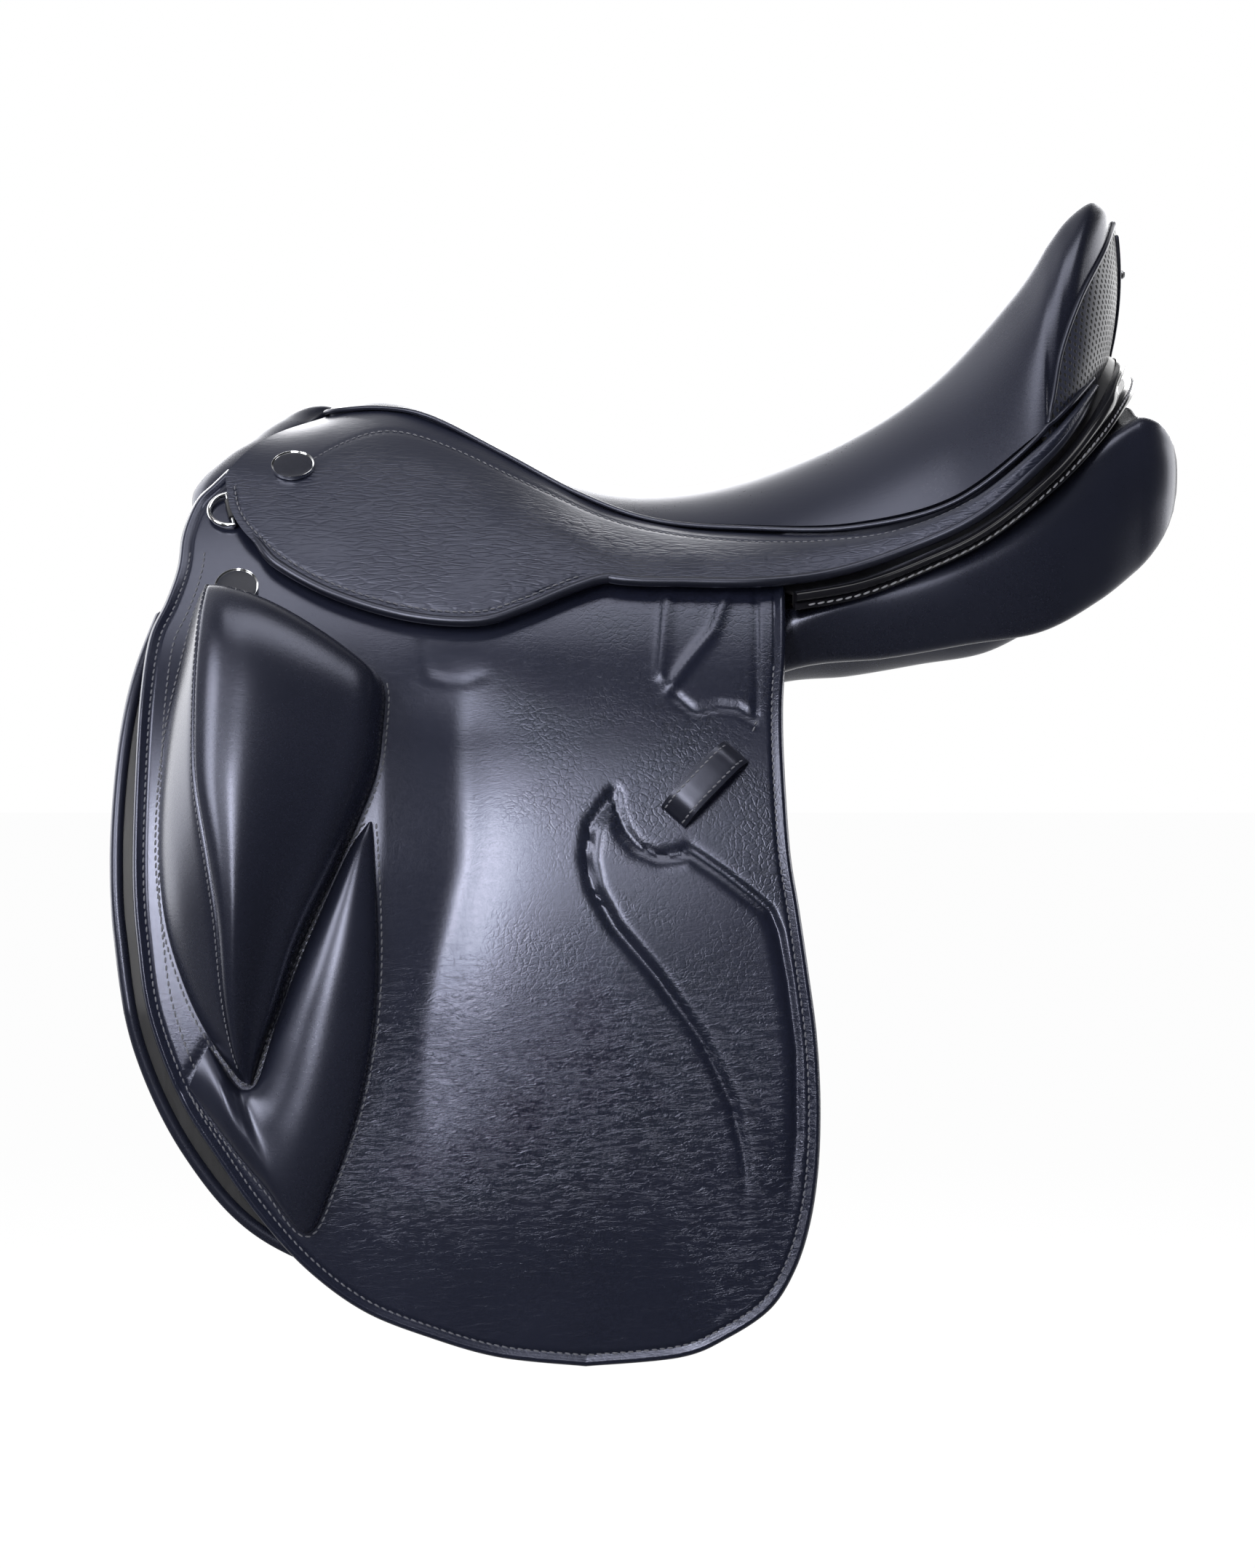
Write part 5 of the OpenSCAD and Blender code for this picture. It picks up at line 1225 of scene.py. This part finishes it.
def stud(name, at, outward, body, node):
    """A plain round stud: a chrome rim round a dark dome."""
    place = Matrix.Translation(Vector(at)) @ Vector(outward).to_track_quat("Z", "Y").to_matrix().to_4x4()
    deselect()
    bpy.ops.mesh.primitive_cylinder_add(vertices=64, radius=STUD_R, depth=STUD_H, location=(0, 0, STUD_H / 2))
    rim = bpy.context.object
    rim.name = name + "_rim"
    bpy.ops.object.transform_apply()
    bpy.ops.object.mode_set(mode="EDIT")
    bpy.ops.mesh.select_all(action="DESELECT")
    bpy.ops.object.mode_set(mode="OBJECT")
    for f in rim.data.polygons:
        f.select = f.normal.z > 0.9
    bpy.ops.object.mode_set(mode="EDIT")
    bpy.ops.mesh.inset(thickness=STUD_LIP)
    bpy.ops.transform.translate(value=(0, 0, -STUD_SUNK))
    bpy.ops.object.mode_set(mode="OBJECT")
    edges = rim.modifiers.new("edges", "BEVEL")
    edges.width, edges.segments = STUD_EDGE, 3
    bpy.ops.object.modifier_apply(modifier="edges")
    rim.data.transform(place)
    soften(rim)
    settle(rim, body, "chrome", (node,))
    deselect()
    bpy.ops.mesh.primitive_uv_sphere_add(segments=48, ring_count=24, radius=DOME_R)
    dome = bpy.context.object
    dome.name = name + "_dome"
    bpy.ops.transform.resize(value=(1, 1, DOME_FLAT))
    bpy.ops.transform.translate(value=(0, 0, DOME_UP))
    bpy.ops.object.transform_apply()
    dome.data.transform(place)
    soften(dome)
    settle(dome, body, "enamel")


def dressed_copy(node, name, body, key, bevel):
    """A copy of a solid with its edges rounded, which stands for it."""
    piece = frame["nodes"][node].copy()
    piece.data = frame["nodes"][node].data.copy()
    piece.name, piece.parent = name, None
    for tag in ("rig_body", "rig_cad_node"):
        if tag in piece:
            del piece[tag]
    bpy.context.scene.collection.objects.link(piece)
    whole = bmesh.new()
    whole.from_mesh(piece.data)
    bmesh.ops.remove_doubles(whole, verts=whole.verts, dist=1e-6)
    bmesh.ops.recalc_face_normals(whole, faces=whole.faces)
    whole.to_mesh(piece.data)
    whole.free()
    pick(piece)
    edges = piece.modifiers.new("edges", "BEVEL")
    edges.width, edges.segments, edges.limit_method, edges.angle_limit = bevel, 2, "ANGLE", math.radians(50)
    bpy.ops.object.modifier_apply(modifier="edges")
    soften(piece)
    settle(piece, body, key, (node,))


class SADDLE_OT_fittings(SaddleOperator, bpy.types.Operator):
    """Make the studs, the keepers, the ring's chapes and the girth straps"""
    bl_idname = "saddle.fittings"
    bl_label = "Fittings"

    def execute(self, context):
        at = np.array(FLAP_STUD_AT)
        flap_stud, flap_face = hung(at, 0.1), facing(at)
        grid, place = skirt_grid(SKIRT_ROWS, SKIRT_COLS), skirt_place(*SKIRT_STUD_AT)
        skirt_face = unit(on_grid(normals(grid, (0, 1, 0.6)), *place))
        skirt_stud = on_grid(grid, *place) + skirt_face * 0.1
        for side, sign in SIDES:
            turn, flap = np.array([1, sign, 1]), f"{side}_flap"
            at, face = flap_stud * turn * MM, flap_face * turn
            stud(f"{side}_flap_button", at, face, flap, f"{side}_flap_stud")
            at, face = skirt_stud * turn * MM, skirt_face * turn
            stud(f"{side}_skirt_button", at, face, "saddle", f"{side}_skirt_stud")
            self.keeper(side, sign)
            dressed_copy(f"{side}_ring_chape", f"{side}_ring_loop", flap, "lining", THIN_EDGE)
            for strap in (f"{side}_strap_front", f"{side}_strap_rear"):
                name = strap.replace("strap", "girth_strap")
                dressed_copy(strap, name, strap, "lining", STRAP_EDGE)
            dressed_copy(f"{side}_girth_web", f"{side}_girth_webs", "saddle", "linen", THIN_EDGE)
        return {"FINISHED"}

    def keeper(self, side, sign):
        """A loop of leather, sewn down at both ends and stitched along both edges."""
        half, foot, gap, thick = KEEPER_LONG, 9.0, 5.0, 2.4
        top = [(half, 0.8), (half - 1.5, thick), (half - foot + 2, gap + thick - 1.2),
               (half - foot - 5, gap + thick - 0.2), (0, gap + thick)]
        low = [(half, 0), (half - foot + 3, 0.3), (half - foot - 3, gap - 0.6), (0, gap)]
        up, down = (curve([(-a, h) for a, h in q[:-1]] + q[::-1], 60) for q in (top, low))
        tilt, turn = math.atan(float(lean(KEEPER_AT[1]))), math.radians(KEEPER_TURN)
        c, s = math.cos(turn), math.sin(turn)
        axes = np.array([[c, 0, s], [0, 1, 0], [-s, 0, c]])
        c, s = math.cos(tilt), math.sin(tilt)
        tip = np.array([[1, 0, 0], [0, c, s], [0, -s, c]])

        def placed(a, h, w):
            return np.stack([*np.broadcast_arrays(a, h, w)], -1) @ axes @ tip + hung(np.array(KEEPER_AT), 0.4)

        w = np.linspace(-KEEPER_WIDE, KEEPER_WIDE, 15)[None]
        bow = 0.5 * (1 - (w / KEEPER_WIDE) ** 4) - 0.5
        ends = 0.5 * np.clip(1 - (half - np.abs(up[:, :1])) / 1.2, 0, 1) ** 2
        outer, inner = placed(up[:, :1], up[:, 1:] + bow - ends, w), placed(down[:, :1], down[:, 1:], w)
        piece = slab(f"{side}_keeper_loop", outer, inner, sign)
        settle(piece, f"{side}_flap", "piping", (f"{side}_keeper",))
        face = normals(outer, (0, 1, 0))
        rows = [(outer[3:-3, edge] + face[3:-3, edge] * 0.15, face[3:-3, edge]) for edge in (2, 12)]
        settle(thread(f"{side}_keeper_stitches", rows, sign, 3.2), f"{side}_flap", "thread")


class SADDLE_OT_ironwork(SaddleOperator, bpy.types.Operator):
    """Give the tree, the steel parts and the rings their finishes"""
    bl_idname = "saddle.ironwork"
    bl_label = "Tree and steel"

    def execute(self, context):
        keys = {"saddle_tree": "wood", "gullet_plate": "steel", "gullet_rivets": "steel",
                "tree_springs": "steel", "cantle_stud": "steel"}
        for side, _ in SIDES:
            for part in ("stirrup_bar", "bar_rivets", "bar_pin", "bar_catch", "girth_rivets"):
                keys[f"{side}_{part}"] = "steel"
            keys[f"{side}_d_ring"] = "chrome"
        for node, key in keys.items():
            coat(frame["nodes"][node], key)
        return {"FINISHED"}


# Stage

class SADDLE_OT_stage(SaddleOperator, bpy.types.Operator):
    """Set the camera, the pale floor, the white surroundings and the soft lamps"""
    bl_idname = "saddle.stage"
    bl_label = "Stage"

    def execute(self, context):
        scene = context.scene
        scene.view_settings.view_transform = "Standard"
        view = bpy.data.cameras.new("photo_view")
        view.lens, view.sensor_width = PHOTO_FOCAL * SENSOR / PHOTO_HIGH, SENSOR
        camera = bpy.data.objects.new("photo_view", view)
        camera.location, camera.rotation_euler = CAMERA_AT, (math.pi / 2, 0, 0)
        scene.collection.objects.link(camera)
        scene.camera = camera
        self.floor()
        self.world(scene)
        for name, (place, aim, size, power) in LAMPS.items():
            lamp = bpy.data.lights.new(name, "AREA")
            lamp.shape, lamp.energy = "RECTANGLE", power
            lamp.size, lamp.size_y = size
            box = bpy.data.objects.new(name, lamp)
            box.location, box.visible_camera = place, False
            box.rotation_euler = (Vector(aim) - Vector(place)).to_track_quat("-Z", "Y").to_euler()
            scene.collection.objects.link(box)
        return {"FINISHED"}

    def floor(self):
        """A pale floor that is white to the eye and dims towards the front in reflections."""
        deselect()
        bpy.ops.mesh.primitive_plane_add(size=FLOOR_SIZE, location=FLOOR_AT)
        floor = bpy.context.object
        floor.name = "floor"
        bpy.ops.object.transform_apply()
        f = Finish("pale_floor", Base_Color=(0.9, 0.9, 0.9, 1), Roughness=0.9)
        eye, glossy = (f.node("LightPath", out=f"Is {ray} Ray") for ray in ("Camera", "Glossy"))
        depth = f.node("SeparateXYZ", None, {0: f.place}, "Y")
        behind = f.node("MapRange", None, {"Value": depth, "From Min": -0.2, "From Max": 2.0, "To Min": 0.04})
        glow = f.node("Emission", None, {"Strength": f.larger(eye, behind)})
        share = f.larger(eye * 0.97, glossy)
        blend = f.node("MixShader", None, {0: share, 1: Value(f, f.shader.outputs[0]), 2: glow})
        end = next(n for n in f.tree.nodes if n.type == "OUTPUT_MATERIAL")
        f.tree.links.new(blend.socket, end.inputs["Surface"])
        floor.data.materials.append(f.material)

    def world(self, scene):
        """White surroundings that light softly and are mirrored most from behind, on the left."""
        scene.world = bpy.data.worlds.new("white_room")
        scene.world.use_nodes = True
        w = Nodes(scene.world.node_tree)
        w.tree.nodes.clear()
        rays = ("Camera", "Glossy", "Transmission")
        eye, glossy, clear = (w.node("LightPath", out=f"Is {ray} Ray") for ray in rays)
        towards = w.node("VectorMath", {"operation": "DOT_PRODUCT"},
                         {0: w.node("TexCoord", out="Generated"), 1: (-0.7, 1.0, 0.2)}, "Value")
        behind = w.node("MapRange", None, {"Value": towards, "From Min": 0.25, "To Min": 0.03})
        seen = w.node("Background", None, {"Color": (1, 1, 1, 1), "Strength": w.larger(eye, behind)})
        lit = w.node("Background", None, {"Color": (0.93, 0.95, 1, 1), "Strength": 0.4})
        share = w.larger(w.larger(eye, clear), glossy)
        blend = w.node("MixShader", None, {0: share, 1: lit, 2: seen})
        w.node("OutputWorld", None, {"Surface": blend})


class SADDLE_PT_panel(bpy.types.Panel):
    """Sidebar panel that lists the saddle's operators, sizes and colours"""
    bl_idname = "SADDLE_PT_panel"
    bl_label = "Dressage saddle"
    bl_space_type = "VIEW_3D"
    bl_region_type = "UI"
    bl_category = "Saddle"

    def draw(self, context):
        for operator in OPERATORS:
            self.layout.operator(operator.bl_idname)
        for group in (context.scene.saddle_sizes, context.scene.saddle_colours):
            for key in group.__annotations__:
                self.layout.prop(group, key)


OPERATORS = (SADDLE_OT_stage, SADDLE_OT_seat, SADDLE_OT_cantle, SADDLE_OT_skirts, SADDLE_OT_flaps,
             SADDLE_OT_knee_blocks, SADDLE_OT_sweat_flaps, SADDLE_OT_panels, SADDLE_OT_fittings,
             SADDLE_OT_ironwork)
CLASSES = (SaddleSizes, SaddleColours, *OPERATORS, SADDLE_PT_panel)


def register():
    for c in CLASSES:
        bpy.utils.register_class(c)
    bpy.types.Scene.saddle_sizes = PointerProperty(type=SaddleSizes)
    bpy.types.Scene.saddle_colours = PointerProperty(type=SaddleColours)


def unregister():
    del bpy.types.Scene.saddle_sizes, bpy.types.Scene.saddle_colours
    for c in reversed(CLASSES):
        bpy.utils.unregister_class(c)


def main():
    register()
    bpy.ops.saddle.stage()
    bpy.ops.saddle.seat()
    bpy.ops.saddle.cantle()
    bpy.ops.saddle.skirts()
    bpy.ops.saddle.flaps()
    bpy.ops.saddle.knee_blocks()
    bpy.ops.saddle.sweat_flaps()
    bpy.ops.saddle.panels()
    bpy.ops.saddle.fittings()
    bpy.ops.saddle.ironwork()


if __name__ == "__main__":
    main()
